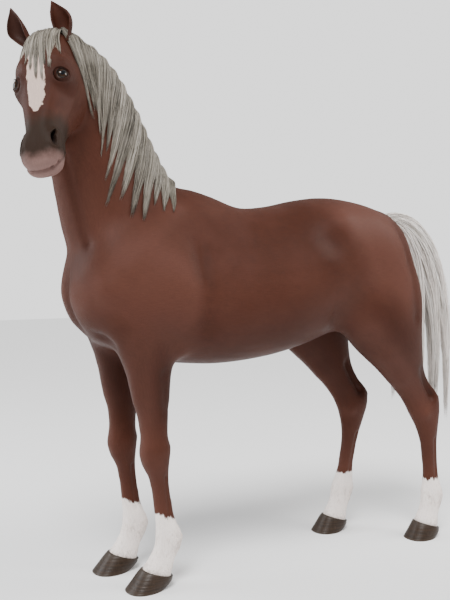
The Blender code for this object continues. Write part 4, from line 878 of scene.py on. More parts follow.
def charts_at(points, normals):
    """Which chart the skin's points are on."""
    chart = np.zeros(len(points), int)
    head = head_shares(points)
    neck = (points - np.array((0.0, -0.45, 1.50))) @ np.array((0.0, -0.75, 0.66)) > 0.10
    chart[neck & (points[:, 1] < -0.38)] = NECK_CHART
    edge = np.interp(head[:, 0], *zip(*HEAD_EDGE))
    chart[(head[:, 0] > -0.10) & (head[:, 1] > edge) & (head[:, 1] > -0.6) & (head[:, 0] < 1.1)
          & (head[:, 2] < 0.45) & (np.linalg.norm(points - on_head(0.45, -0.2), axis=1) < 0.50)] = FACE_CHART
    for index, (fore, side) in enumerate(((True, 1), (True, -1), (False, 1), (False, -1))):
        own = (points[:, 1] < -0.33) if fore else (points[:, 1] > 0.22)
        chart[(points[:, 2] < LEG_TOP) & own & (points[:, 0] * side > 0)] = LEG_CHARTS + index
    for index, side in enumerate(SIDES):
        base, axis, front, _ = ear_frame(side)
        rel = points - base
        along = rel @ axis
        off = rel - along[:, None] * axis
        near = (along > 0.006) & (np.linalg.norm(off, axis=1) < 0.062)
        cup = off - front * 0.014
        chart[near] = EAR_CHARTS + 2 * index
        chart[near & (np.einsum("ij,ij->i", cup, normals) < 0)] = INSIDE_EARS[index]
    return chart


def around(points, chart):
    """The turn about the chart's axis and the way along it, for each point on its chart."""
    turn, along = np.zeros(len(points)), np.zeros(len(points))
    for index, (origin, axis, zero, _, _) in enumerate(CHARTS):
        own = chart == index
        rel = points[own] - np.array(origin)
        if LEG_CHARTS <= index < EAR_CHARTS:
            part, side = tuple(STANCE)[index - LEG_CHARTS]
            rel[:, 1] = points[own][:, 1] - leg_middle(points[own], part, side)
        axis, zero = np.array(axis, float), np.array(zero, float)
        along[own] = rel @ axis
        turn[own] = np.arctan2(rel @ np.cross(axis, zero), rel @ zero)
    return turn, along


def atlas_places(turn, along, chart):
    """The places of chart coordinates on the OFBake map: one cell of the atlas for each chart."""
    reach = np.array([row[3] for row in CHARTS])[chart]
    share = np.stack((0.5 + turn / (2.2 * np.pi), (along - reach[:, 0]) / (reach[:, 1] - reach[:, 0])), 1)
    share = ATLAS_MARGIN + np.clip(share, 0, 1) * (1 - 2 * ATLAS_MARGIN)
    corner = np.stack((chart % ATLAS_COLUMNS, chart // ATLAS_COLUMNS), 1)
    return (corner + share) / (ATLAS_COLUMNS, ATLAS_ROWS)


def hair_way(normals, chart):
    """The direction in which the coat lies, along the skin."""
    way = np.array([row[1] for row in CHARTS], float)[chart]
    way[chart == BODY_CHART] += (0.0, 0.0, -0.30)
    way[chart == NECK_CHART] += (0.0, 0.25, 0.0)
    way[chart == FACE_CHART] += OUT_OF_FACE * -0.25
    way = way - normals * np.einsum("ij,ij->i", way, normals)[:, None]
    return unit_rows(way)


def map_skin(mesh):
    """Writes OFBake and Lie, the map in metres along and across the hair, face by face without a cut."""
    corners = read(mesh.loops, "vertex_index", kind=np.int32)
    face = np.repeat(np.arange(len(mesh.polygons)), read(mesh.polygons, "loop_total", kind=np.int32))
    middles = face_middles(mesh)
    chart = charts_at(middles, read(mesh.polygons, "normal", 3))
    middle_turn, _ = around(middles, chart)
    turn, along = around(coordinates(mesh)[corners], chart[face])
    turn = middle_turn[face] + (turn - middle_turn[face] + np.pi) % (2 * np.pi) - np.pi
    radius = np.array([row[4] for row in CHARTS])[chart[face]]
    for name, places in (("OFBake", atlas_places(turn, along, chart[face])),
                         ("Lie", np.stack((turn * radius, along), 1) + chart[face][:, None] * 3.0)):
        mesh.uv_layers.new(name=name).uv.foreach_set("vector", places.astype(np.float32).ravel())


# Markings: heights of the socks' edges, the blaze's half widths down the face, and where the muzzle darkens.
SOCK_TOP = {"fore": 0.285, "hind": 0.275}
SOCK_FADE = 0.10
BLAZE = ((-0.06, 0.030), (0.10, 0.040), (0.28, 0.050), (0.42, 0.056),
         (0.55, 0.052), (0.61, 0.038), (0.645, 0.016), (0.660, -0.02))
BLAZE_FADE = 0.07
# Painted highlights, paler over the big muscles: start, end and reach, on the left of the standing horse.
HIGHLIGHT_PATCHES = (((0.24, -0.66, 1.26), (0.26, -0.52, 1.14), 0.12), ((0.2, 0.42, 1.46), (0.24, 0.52, 1.3), 0.1),
         ((0.24, 0.62, 1.18), (0.22, 0.66, 1.08), 0.08), ((0.1, -0.84, 1.16), (0.1, -0.84, 1.16), 0.06),
         ((0.2, -0.62, 0.98), (0.15, -0.6, 0.6), 0.06), ((0.13, -0.58, 0.6), (0.13, -0.55, 0.32), 0.045),
         ((0.24, 0.45, 0.98), (0.16, 0.8, 0.64), 0.06), ((0.14, 0.85, 0.6), (0.14, 0.86, 0.3), 0.045),
         ((0.1, -0.86, 1.7), (0.12, -0.78, 1.42), 0.08))
MUZZLE_FADE, LIPS_FADE = (0.58, 0.80), (0.82, 0.99)
# How dark the coat is made at the knees and hocks and round the eyes, and the painted shade in the hollows
# and on the underside.
KNEE_HEIGHT, KNEE_REACH, EYE_SHADE_REACH = 0.42, 0.10, 0.085
SHADE_KNEES, SHADE_EYES, SHADE_HOLLOWS, SHADE_BELOW = 0.3, 1.1, 0.4, 0.45


def markings(points):
    """Levels that coat and skin share: white (its edge at a half), muzzle, lips, darker coat with painted
    shade, and painted highlights.
    """
    head = head_shares(points)
    on = (head[:, 0] > -0.12) & (np.linalg.norm(points - on_head(0.5, -0.15), axis=1) < 0.40)
    on &= head[:, 1] > np.interp(head[:, 0], (0.45, 0.60), (-0.5, -0.32))
    blaze = 0.5 + (np.interp(head[:, 0], *zip(*BLAZE)) - head[:, 2]) / BLAZE_FADE
    blaze = np.where(on & (head[:, 1] > -0.09), np.clip(blaze, 0, 1), 0)
    fore = points[:, 1] < -0.2
    top = np.where(fore, SOCK_TOP["fore"], SOCK_TOP["hind"])
    middle = np.where(fore, -0.53, 0.75)
    side = np.sign(points[:, 0])
    for part in ("fore", "hind"):
        for name, flip in SIDES.items():
            own = (fore == (part == "fore")) & (side == flip)
            middle[own] = leg_middle(points[own], part, name)
    top = top + np.where(fore, -0.35, 0.0) * np.clip(points[:, 1] - middle, -0.05, 0.05)
    socks = np.clip(0.5 + (top - points[:, 2]) / SOCK_FADE, 0, 1)
    muzzle = np.where(on, smoothstep(*MUZZLE_FADE, head[:, 0] + 0.25 * np.clip(head[:, 2], 0, 0.1)), 0)
    lips = np.where(on, smoothstep(*LIPS_FADE, head[:, 0] - 0.35 * (head[:, 1] + 0.13)), 0)
    height = points[:, 2]
    knees = np.exp(-((height - KNEE_HEIGHT) / KNEE_REACH) ** 2) * (height < 0.8)
    around_eye = np.where(on, nearness(head, EYE_PLACE, EYE_PLACE, EYE_SHADE_REACH), 0)
    # Painted shade: darker from the upper legs up to the belly.
    low = (1 - smoothstep(0.90, 1.20, height)) * (np.abs(points[:, 1]) < 1.0) * smoothstep(0.5, 0.8, height)
    body = neutral(points)
    # Painted light over the relief: lighter on the muscles as highlights, darker in the hollows as shade.
    form = sum(nearness(body, start, end, reach * 1.5) * np.clip(rise / 0.012, -0.8, 1.2)
               for start, end, reach, rise in RELIEF) * (points[:, 2] > 0.5)
    # Painted highlights over the big muscles.
    highlight_patch = np.max([nearness(body, start, end, reach) for start, end, reach in HIGHLIGHT_PATCHES], axis=0)
    # Darker coat at the knees and hocks and round the eyes, and painted shade in the hollows and underneath.
    dark_coat_and_shade = (SHADE_KNEES * knees + SHADE_EYES * around_eye + SHADE_HOLLOWS * np.clip(-form, 0, 1)
             + SHADE_BELOW * low)
    return {"white": np.maximum(blaze, socks), "muzzle": muzzle, "lips": lips,
            "dark_coat_and_shade": np.clip(dark_coat_and_shade, 0, 1), "painted_highlight": np.clip(form + highlight_patch, 0, 1)}


def settle(piece, slot, *nodes):
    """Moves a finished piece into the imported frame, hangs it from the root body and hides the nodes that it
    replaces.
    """
    place_points(piece.data, coordinates(piece.data) + SHIFT)
    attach(piece, "root")
    if nodes:
        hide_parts(*nodes)
    return piece


def skin_tree():
    """A search tree over the finished skin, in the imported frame."""
    return BVHTree.FromObject(bpy.data.objects["skin"], bpy.context.evaluated_depsgraph_get())


# Hair is laid on the skin that faces outside at least this much, on sheets of so many points.
LEAST_DRAPE = 0.25
SHEET_ROWS, SHEET_COLUMNS = 121, 61


def skin_below(points, tree, outside):
    """The skin under each point, seen from outside where it faces that way, else the nearest."""
    outside = Vector(outside)
    found, normals = np.empty_like(points), np.empty_like(points)
    for index, point in enumerate(points + SHIFT):
        hit, normal, _, _ = tree.ray_cast(Vector(point) + outside, -outside)
        if hit is None or normal.dot(outside) < LEAST_DRAPE:
            hit, normal, _, _ = tree.find_nearest(Vector(point))
        found[index], normals[index] = hit, normal
    return found - SHIFT, normals


def draped_sheet(paths, tree, outside):
    """Paths side by side laid on the skin and drawn finer both ways: points and outward directions."""
    rows, columns, _ = paths.shape
    found, normals = skin_below(paths.reshape(-1, 3), tree, outside)
    sheet = np.concatenate((found, normals), 1).reshape(rows, columns, 6)
    for _ in range(2):
        middle = sheet[:, 1:-1] * 0.5 + (sheet[:, :-2] + sheet[:, 2:]) * 0.25
        sheet = np.concatenate((sheet[:, :1], middle, sheet[:, -1:]), axis=1)
        middle = sheet[1:-1] * 0.5 + (sheet[:-2] + sheet[2:]) * 0.25
        sheet = np.concatenate((sheet[:1], middle, sheet[-1:]))
    sheet = through(np.linspace(0, 1, rows), sheet.reshape(rows, -1), np.linspace(0, 1, SHEET_ROWS))
    sheet = sheet.reshape(SHEET_ROWS, columns, 6).transpose(1, 0, 2).reshape(columns, -1)
    sheet = through(np.linspace(0, 1, columns), sheet, np.linspace(0, 1, SHEET_COLUMNS))
    sheet = sheet.reshape(SHEET_COLUMNS, SHEET_ROWS, 6).transpose(1, 0, 2)
    return sheet[..., :3], sheet[..., 3:]


def on_sheet(grid, row, column):
    """The grid's values at shares across its rows and columns, blended between the four around each."""
    r, c = np.clip(row, 0, 1) * (grid.shape[0] - 1), np.clip(column, 0, 1) * (grid.shape[1] - 1)
    i, j = np.minimum(r.astype(int), grid.shape[0] - 2), np.minimum(c.astype(int), grid.shape[1] - 2)
    r, c = (r - i)[..., None], (c - j)[..., None]
    before, after = (grid[i, k] * (1 - r) + grid[i + 1, k] * r for k in (j, j + 1))
    return before * (1 - c) + after * c


def strands(name, paths, outward, width, depth, values, chart):
    """Closed strands along paths: at each point three corners, one at either side and one above the middle,
    drawn together at the tip, with each strand's OFBake patch at its root's place."""
    count, length, _ = paths.shape
    along = unit_rows(np.gradient(paths, axis=1))
    side = unit_rows(np.cross(along, outward))
    above = np.cross(side, along)
    share = np.linspace(0, 1, length)
    body = (np.sqrt(np.clip(1 - share ** 3, 0, 1)) * np.minimum(1, 0.55 + 3 * share))[:, None]
    half, rise = side * body * (width[:, None, None] / 2), above * body * depth[:, None, None]
    rings = np.stack((paths - half - rise * 0.3, paths + rise * 0.7, paths + half - rise * 0.3), 2)[:, :-1]
    points = np.concatenate((rings.reshape(count, -1, 3), paths[:, -1:]), 1)
    size = points.shape[1]
    k = np.arange(length - 2)[:, None] * 3
    a, b = k + np.arange(3), k + (np.arange(3) + 1) % 3
    quads = np.stack((a, b, b + 3, a + 3), -1).reshape(-1, 4)
    last = (length - 2) * 3
    triangles = np.array([(0, 2, 1)] + [(last + i, last + (i + 1) % 3, size - 1) for i in range(3)])
    start = np.arange(count)[:, None, None] * size
    turn, height = around(paths[:, 0], chart)
    root = atlas_places(turn, height, chart)
    across = np.concatenate((np.tile((-0.5, 0.0, 0.5), length - 1), (0.0,)))
    grow = np.concatenate((np.repeat(share[:-1], 3), (1.0,)))
    uv = root[:, None] + TUFT_PATCH * np.stack((across, grow - 0.5), 1)
    kept = {key: np.repeat(value, size) for key, value in values.items()}
    kept["grow"] = np.tile(grow, count)
    return new_object(name, points.reshape(-1, 3), (quads + start).reshape(-1, 4),
                      (triangles + start).reshape(-1, 3), uv.reshape(-1, 2), kept)


FULL_TURN = 6.28
HAIR_FLATNESS, TUFT_FLATNESS = 0.45, 0.35
ROOT_DEPTH = 0.003
# Small locks in each lock, points along a strand, its wave, how locks gather at the tip, and their lengths.
MANE_HAIR = {"fine": 4, "points": 15, "wave": 0.005, "gather": 0.66, "lengths": np.array((1.0, 0.90, 0.96))}
FORELOCK_HAIR = {"fine": 4, "points": 13, "wave": 0.003, "gather": 0.38,
                 "lengths": np.array((0.98, 1.0, 0.99))}


def crest_point(share):
    """The point at that share of the crest, from the poll to the withers."""
    crest = np.array(CREST)
    knots = np.concatenate(([0], np.cumsum(np.linalg.norm(np.diff(crest, axis=0), axis=1))))
    return through(knots / knots[-1], crest, np.atleast_1d(share))[0]


def curve_points(controls, shares):
    """Points of the Bezier curve of the control points, at shares of its length in its own parameter."""
    controls, shares = np.array(controls, float), np.asarray(shares)[:, None]
    while len(controls) > 1:
        if controls.ndim == 2:
            controls = np.repeat(controls[:, None], len(shares), axis=1)
        controls = controls[:-1] * (1 - shares) + controls[1:] * shares
    return controls[0]


def mane_path(share):
    """From the crest out over the left side, then down and towards the head to the tip."""
    root = crest_point(share)
    along, drop, forward = np.array(MANE_HANG).T
    fall, lean = np.interp(share, along, drop), np.interp(share, along, forward)
    spread = np.array((MANE_SPREAD, 0.0, 0.0))
    toward_head = np.array((0.0, -lean, 0.0))
    return curve_points((root - spread * 0.25 + (0, 0, 0.01), root + spread * 0.4 + (0, 0, 0.025),
                         root + spread * 1.1 - (0, 0, fall * 0.35) + toward_head * 0.2,
                         root + spread * 1.8 - (0, 0, fall) + toward_head), np.linspace(0, 1, 13))


def forelock_path(share):
    """From between the ears over the poll and down the forehead."""
    roots, downs, aways = np.array(FORELOCK).T
    places = np.linspace(0, 1, len(roots))
    root, down, away = (np.interp(share, places, row) for row in (roots, downs, aways))
    return curve_points((on_head(FORELOCK_ROOT[0], FORELOCK_ROOT[1], root), on_head(-0.06, 0.06, root),
                         on_head(down * 0.5, 0.10, (root + away) / 2), on_head(down, 0.06, away)),
                        np.linspace(0, 1, 9))


def lock_gathering(random, row, locks, fine, share, gather):
    """How strands gather: towards their lock's middle and their small lock's, more and more to the tip."""
    middles = np.linspace(0, 1, locks)
    lock = np.clip(np.round(row * (locks - 1) + random.normal(0, 0.22, len(row))), 0, locks - 1).astype(int)
    small = np.round(row * (locks - 1) * fine) / ((locks - 1) * fine)
    toward_small = (small - row)[:, None] * 0.55 * smoothstep(0.15, 0.75, share)
    toward_lock = (middles[lock] - small)[:, None] * gather * smoothstep(0.66, 1.12, share)
    return lock, row[:, None] + toward_small + toward_lock


def sheet_strands(name, sheet, outward, locks, fine, count, points, width, thickness, wave, lengths, seed,
                  chart, gather):
    """Strands over a draped sheet: each runs from its root's row towards its lock's middle, lies at its own
    depth in the hair and waves with its lock."""
    random = np.random.default_rng(seed)
    share = np.linspace(0, 1, points)
    row = random.random(count)
    lock, rows = lock_gathering(random, row, locks, fine, share, gather)
    middles = np.linspace(0, 1, locks)
    edge = np.clip(np.abs(row - middles[lock]) * (locks - 1) * 1.6, 0, 1)
    length = lengths[lock % len(lengths)] * (1 - 0.30 * gather * edge ** 1.5)
    length = length * (1 - 0.14 * random.random(count) ** 2)
    column = share * length[:, None]
    place, normal = on_sheet(sheet, rows, column), unit_rows(on_sheet(outward, rows, column))
    layer = random.random(count) ** 0.7
    swell = (0.35 + 0.65 * np.sin(np.pi * np.clip(share * 1.1, 0, 1)) ** 0.5) * (1 - 0.55 * share)
    high = thickness * (0.10 + 0.85 * layer * (1 - 0.5 * edge))[:, None] * swell
    high = high - ROOT_DEPTH * (1 - smoothstep(0, 0.08, share))
    across = np.cross(normal, unit_rows(np.gradient(place, axis=1)))
    phase = random.random(locks)[lock] * FULL_TURN + random.normal(0, 0.35, count)
    small_phase = random.random(count) * FULL_TURN
    aside = wave * np.sin(phase[:, None] + share * 9.0)
    aside = (aside + wave * 0.35 * np.sin(small_phase[:, None] + share * 17.0)) * share
    paths = place + normal * high[..., None] + across * aside[..., None]
    between = np.abs(row * (locks - 1) * fine - np.round(row * (locks - 1) * fine)) * 2
    tone = 0.58 + 0.20 * random.normal(size=count) + 0.14 * random.normal(size=locks)[lock]
    # Strands between the small locks and the deep ones under the rest are painted darker, as shade.
    tone = tone - 0.38 * between ** 4
    tone = np.clip(np.where(layer < 0.35, tone * 0.45, tone), 0, 1)
    widths = width * (0.6 + 0.8 * random.random(count))
    return strands(name, paths, normal, widths, widths * HAIR_FLATNESS, {"tone": tone}, np.full(count, chart))


def make_mane(looks):
    """Two pieces of strands that hang from the crest over the left side of the neck."""
    paths = np.array([mane_path(share) for share in np.linspace(0, 1, 33)])
    sheet, outward = draped_sheet(paths, skin_tree(), LEFT)
    made = []
    for index in range(2):
        piece = sheet_strands(f"mane_{index + 1}", sheet, outward, MANE_LOCKS, count=looks.mane_strands // 2,
                              width=looks.hair_width, thickness=MANE_THICKNESS, seed=11 + index,
                              chart=NECK_CHART, **MANE_HAIR)
        made.append(settle(piece, "hair", "mane"))
    return made


def make_forelock(looks):
    """Strands that fall from between the ears down the forehead."""
    paths = np.array([forelock_path(share) for share in np.linspace(0, 1, 25)])
    sheet, outward = draped_sheet(paths, skin_tree(), OUT_OF_FACE)
    piece = sheet_strands("forelock_hair", sheet, outward, len(FORELOCK), count=looks.forelock_strands,
                          width=looks.hair_width, thickness=FORELOCK_THICKNESS, seed=31, chart=FACE_CHART,
                          **FORELOCK_HAIR)
    return settle(piece, "hair", "forelock")


def tail_controls(tip):
    """Control points of a lock of the tail: out of the dock, over the arch and down to the tip."""
    tip = np.array(tip)
    arch = TAIL_ARCH + (tip[0] * 0.5, (tip[1] - 0.95) * 0.48, (tip[1] - 0.95) * 0.30)
    return np.array((DOCK, DOCK + (arch - DOCK) * 0.55 + (0, 0, 0.055), arch + (0, 0.03, 0.02),
                     (tip[0] * 1.4, tip[1] + 0.01, 1.10), (tip[0] * 1.2, tip[1], 0.85), tip))


def lock_widths(shares, width):
    """The half width of a lock along its length: full near the root, drawn out to a point."""
    return width * (1 - 0.15 * shares) * np.sqrt(np.clip(1 - shares ** 5, 0.010, 1))


def make_tail(looks):
    """Strands in and around the tail's locks: each keeps its place across its lock and waves with it."""
    share = np.linspace(0, 1, 20)
    curves = np.array([curve_points(tail_controls(tip), np.linspace(0, 1, 60)) for tip in TAIL_TIPS])
    made = []
    for index in range(TAIL_PIECES):
        random = np.random.default_rng(51 + index)
        count = looks.tail_strands // TAIL_PIECES
        lock = random.integers(0, len(TAIL_TIPS), count)
        radius, angle = np.sqrt(random.random(count)), random.random(count) * 2 * np.pi
        small = random.integers(0, TAIL_SMALL_LOCKS, count)
        small_angle = small * 0.9 + lock * 1.7
        small_radius = 0.25 + 0.5 * ((small * 37 + lock * 11) % TAIL_SMALL_LOCKS) / (TAIL_SMALL_LOCKS - 1)
        length = (1 - 0.10 * radius ** 2) * (1 - 0.20 * random.random(count) ** 2.5)
        path = on_sheet(curves, (lock / (len(TAIL_TIPS) - 1))[:, None] + share * 0, share * length[:, None])
        back = unit_rows(np.cross(unit_rows(np.gradient(path, axis=1)), LEFT))
        own = np.stack((radius * np.cos(angle), radius * np.sin(angle)), 1)
        drawn = np.stack((small_radius * np.cos(small_angle), small_radius * np.sin(small_angle)), 1)
        gather = smoothstep(0.45, 1.05, share)[:, None] * TAIL_GATHER
        spread = own[:, None] * (1 - gather) + drawn[:, None] * gather
        half = lock_widths(share, TAIL_THICKNESS * 0.5) * (0.8 + 0.5 * np.sin(np.pi * share))
        phase = lock * 2.1 + small * 1.3 + random.normal(0, 0.3, count)
        wave = TAIL_WAVE * np.sin(phase[:, None] + share * 12.0) * share
        flutter = TAIL_FLUTTER * np.sin(random.random(count)[:, None] * FULL_TURN + share * 23.0) * share
        path = (path + LEFT * (spread[..., 0] * half + wave)[..., None]
                + back * (spread[..., 1] * half + flutter)[..., None])
        outward = unit_rows(LEFT * spread[..., :1] + back * spread[..., 1:] + 1e-6)
        tone = np.clip(0.58 + 0.20 * random.normal(size=count) + 0.25 * (radius - 0.6), 0, 1)
        widths = looks.hair_width * (0.9 + 1.2 * random.random(count))
        piece = strands(f"tail_{index + 1}", path, outward, widths, widths * HAIR_FLATNESS, {"tone": tone},
                        np.full(count, BODY_CHART))
        made.append(settle(piece, "hair", "tail"))
    return made


def scattered(mesh, chance, count, random):
    """Places on the skin, drawn by area and the chance given for each face: points and normals."""
    mesh.calc_loop_triangles()
    ends = read(mesh.loop_triangles, "vertices", 3, np.int32)
    points, normals = coordinates(mesh) - SHIFT, point_normals(mesh)
    corners = points[ends]
    area = np.linalg.norm(np.cross(corners[:, 1] - corners[:, 0], corners[:, 2] - corners[:, 0]), axis=1)
    weight = area * chance(corners.mean(1), unit_rows(normals[ends].mean(1)))
    picked = random.choice(len(ends), count, p=weight / weight.sum())
    share = random.dirichlet((1, 1, 1), count)[..., None]
    return (points[ends[picked]] * share).sum(1), unit_rows((normals[ends[picked]] * share).sum(1))


# Tufts: points along each, its root's depth, how many each piece has at the set number, how near they come to
# the eyes, and how wide and steep they are.
TUFT_POINTS, TUFT_ROOT, SET_TUFTS = 5, 0.0010, 8000
LEG_TUFTS, HEAD_TUFTS, BODY_TUFTS = 6300, 6700, 4500
BARE_ROUND_EYE = 0.050
LEG_TUFT = {"width": 0.0022, "lift": 0.10}
HEAD_TUFT = {"width": 0.0014, "lift": 0.07}
BODY_TUFT = {"width": 0.0024, "lift": 0.035}


def make_tufts(name, chance, count, length, width, lift, seed):
    """Short closed tufts rooted on the skin, lying the way of its coat and rising a little to their tips."""
    random = np.random.default_rng(seed)
    skin = bpy.data.objects["skin"]
    roots, normals = scattered(skin.data, chance, count, random)
    chart = charts_at(roots, normals)
    way = hair_way(normals, chart)
    aside = np.cross(normals, way)
    way = unit_rows(way + aside * random.normal(0, 0.16, (count, 1)))
    reach = (length(roots) if callable(length) else length) * (0.7 + 0.6 * random.random(count))
    up = lift * (0.6 + 0.8 * random.random(count))
    share = np.linspace(0, 1, TUFT_POINTS)[:, None]
    turn = aside[:, None] * (random.normal(0, 0.08, count)[:, None, None] * share ** 2)
    paths = (roots[:, None] - normals[:, None] * TUFT_ROOT
             + reach[:, None, None] * ((way[:, None] + turn) * share
                                       + normals[:, None] * up[:, None, None] * np.sin(share * 1.9)))
    values = markings(roots)
    values["tone"] = np.clip(0.5 + 0.20 * random.normal(size=count), 0, 1)
    values["inner"] = np.isin(chart, INSIDE_EARS).astype(float)
    widths = width * (0.7 + 0.6 * random.random(count))
    outward = np.repeat(normals[:, None], len(share), axis=1)
    piece = strands(name, paths, outward, widths, widths * TUFT_FLATNESS, values, chart)
    return settle(piece, "coat")


def make_coat(looks):
    """Tufts where the coat breaks the form: on legs, head and ears, and thinly spread ones on the body."""
    share = looks.tufts / SET_TUFTS
    length = looks.tuft_length

    def on_legs(points, _):
        low = points[:, 2] < 0.46
        part = np.where(points[:, 1] < -0.2, 0, 1)
        behind = np.zeros(len(points))
        for index, name in enumerate(("fore", "hind")):
            for side, flip in SIDES.items():
                own = (part == index) & (np.sign(points[:, 0]) == flip)
                behind[own] = points[own, 1] - leg_middle(points[own], name, side)
        feather = np.exp(-((points[:, 2] - 0.19) / 0.045) ** 2) * smoothstep(-0.01, 0.05, behind) * 6
        coronet = np.exp(-((points[:, 2] - 0.085) / 0.022) ** 2) * 4
        return low * (0.9 + feather + coronet + 1.5 * (points[:, 2] < 0.30))

    def leg_length(points):
        return length * (0.75 + 0.9 * np.exp(-((points[:, 2] - 0.18) / 0.05) ** 2)
                         + 0.7 * np.exp(-((points[:, 2] - 0.08) / 0.02) ** 2))

    def on_head_and_ears(points, normals):
        head = head_shares(points)
        chart = charts_at(points, normals)
        face = (chart == FACE_CHART) * (0.6 + 1.2 * (head[:, 1] < -0.22)) * (head[:, 0] < 0.80)
        face *= from_eyes(points) > BARE_ROUND_EYE
        ears = (chart >= EAR_CHARTS) * 0.12
        return face + ears

    def head_length(points):
        head = head_shares(points)
        chart = charts_at(points, points * 0 + 1)
        return length * np.where(chart >= EAR_CHARTS, 0.45, np.where(head[:, 1] < -0.24, 0.70, 0.50))

    def on_body(points, normals):
        chart = charts_at(points, normals)
        belly = np.exp(-((points[:, 2] - 0.88) / 0.05) ** 2) * (chart == BODY_CHART)
        throat = (chart == NECK_CHART) * smoothstep(0.2, 0.9, -normals[:, 1])
        rump = (points[:, 1] > 0.60) * (chart == BODY_CHART)
        upper_legs = (chart >= LEG_CHARTS) & (chart < EAR_CHARTS) & (points[:, 2] > 0.40)
        return ((chart < FACE_CHART) | upper_legs) * (0.5 + 1.5 * belly + 1.2 * throat + 0.8 * rump)

    made = [make_tufts("coat_legs", on_legs, round(LEG_TUFTS * share), leg_length, seed=71, **LEG_TUFT),
            make_tufts("coat_head", on_head_and_ears, round(HEAD_TUFTS * share), head_length, seed=72,
                       **HEAD_TUFT)]
    for index in range(2):
        made.append(make_tufts(f"coat_body_{index + 1}", on_body, round(BODY_TUFTS * share), length,
                               seed=73 + index, **BODY_TUFT))
    return made


LASHES, LASH_POINTS = 48, 7
LASH_LENGTH, LASH_WIDTH = 0.010, 0.0004


def make_lashes():
    """Eyelashes along the upper lids: fine strands that curve out and down."""
    random = np.random.default_rng(91)
    paths, normals = [], []
    share = np.linspace(0, 1, LASH_POINTS)[:, None]
    for side in SIDES:
        centre, outward, along, up = eye_frame(side)
        for place in np.linspace(-0.75, 0.95, LASHES):
            across = place * LID_HALF_LENGTH
            rim = LID_UPPER * (1 - abs(place) ** 2) ** (1 / 1.75)
            height = np.sqrt(EYE_RADIUS ** 2 - across ** 2 - rim ** 2) + LID_THICKNESS * 0.7
            root = centre + along * across + up * (rim + 0.0012) + outward * height
            way = unit(outward * 0.9 + up * 0.35 + along * place * 0.4 + random.normal(0, 0.10, 3))
            length = LASH_LENGTH * (0.6 + 0.4 * random.random())
            paths.append(root + length * (way * share - up * 0.55 * share ** 2))
            normals.append(np.repeat(up[None], LASH_POINTS, axis=0))
    paths, normals = np.array(paths), np.array(normals)
    count = len(paths)
    values = markings(paths[:, 0])
    values.update(tone=np.full(count, 0.4), lash=np.ones(count), white=np.zeros(count))
    widths = np.full(count, LASH_WIDTH)
    piece = strands("coat_lashes", paths, normals, widths, widths, values, np.full(count, FACE_CHART))
    return settle(piece, "coat")


EYE_RINGS, EYE_AROUND = 72, 96
CORNEA_RADIUS, CORNEA_BULGE = 0.66, 0.0004
BALL_RADIUS = EYE_RADIUS - 0.0004


def make_eyes():
    """Eyeballs about the way they look: rings at even angles from the front, bulging over the cornea."""
    made = []
    for side in SIDES:
        centre, outward, along, up = eye_frame(side)
        polar = np.linspace(0, np.pi, EYE_RINGS)[1:-1]
        turn = np.linspace(0, 2 * np.pi, EYE_AROUND, endpoint=False)
        bulge = CORNEA_BULGE * (1 - smoothstep(0.3, CORNEA_RADIUS + 0.1, np.sin(polar)))
        radius = BALL_RADIUS + np.where(polar < np.pi / 2, bulge, 0)
        flat = np.sin(polar)[:, None, None] * (np.cos(turn)[:, None] * along + np.sin(turn)[:, None] * up)
        ring = (flat + np.cos(polar)[:, None, None] * outward) * radius[:, None, None]
        points = np.concatenate((ring.reshape(-1, 3), [outward * radius[0], -outward * radius[-1]])) + centre
        quads = grid_faces(len(polar), EYE_AROUND)
        j = np.arange(EYE_AROUND)
        k, last = (j + 1) % EYE_AROUND, (len(polar) - 1) * EYE_AROUND
        front = np.stack((k, j, np.full_like(j, len(points) - 2)), 1)
        back = np.stack((last + j, last + k, np.full_like(j, len(points) - 1)), 1)
        if np.cross(along, up) @ outward > 0:
            quads, front, back = quads[:, ::-1], front[:, ::-1], back[:, ::-1]
        rel = (points - centre) / EYE_RADIUS
        piece = new_object(f"eye_{side}_ball", points, quads, np.concatenate((front, back)),
                           values={"eye_along": rel @ along, "eye_up": rel @ up, "eye_out": rel @ outward})
        made.append(settle(piece, "eye", f"eye_{side}"))
    return made


HOOF_MIDDLE, HOOF_STEP, HOOF_AROUND = 0.125, 0.0016, 120
HOOF_RING_HEIGHTS, HOOF_RING_DEPTH = (0.0055, 0.0123), 0.00035


def make_hooves():
    """The hooves' walls from their stations, with growth rings, widening in at the sole's edge."""
    made = []
    for pair, side in STANCE:
        stations = standing(HOOVES[pair], pair, side)
        points, quads, triangles = loft(stations, HOOF_STEP, HOOF_AROUND)
        middle = np.array((HOOF_MIDDLE * SIDES[side], leg_middle(points, pair, side).mean(), 0.0))
        away = (points - middle) * (1, 1, 0)
        narrow, wide = (np.sin(points[:, 2] / height * 2 * np.pi) for height in HOOF_RING_HEIGHTS)
        rings = narrow + 0.6 * wide
        wall = smoothstep(0.02, 0.04, np.linalg.norm(away, axis=1)) * smoothstep(0.002, 0.010, points[:, 2])
        points = points + unit_rows(away) * (rings * wall * HOOF_RING_DEPTH)[:, None]
        points[:, 2] = np.maximum(points[:, 2], 0)
        piece = new_object(f"hoof_{pair}_{side}_wall", points, quads, triangles)
        made.append(settle(piece, "hoof", f"hoof_{pair}_{side}"))
    return made


def fill(tree, node, inputs):
    """Sets the node's inputs to values, or links them to sockets."""
    for key, value in inputs.items():
        if isinstance(value, bpy.types.NodeSocket):
            tree.links.new(value, node.inputs[key])
        else:
            node.inputs[key].default_value = value


def graph_node(tree, kind, inputs=None, **settings):
    """A node with its settings and its filled inputs."""
    made = tree.nodes.new(kind)
    for key, value in settings.items():
        setattr(made, key, value)
    fill(tree, made, inputs or {})
    return made


def calc(tree, operation, *values):
    """A sum or product in the shader."""
    return graph_node(tree, "ShaderNodeMath", dict(enumerate(values)), operation=operation).outputs[0]


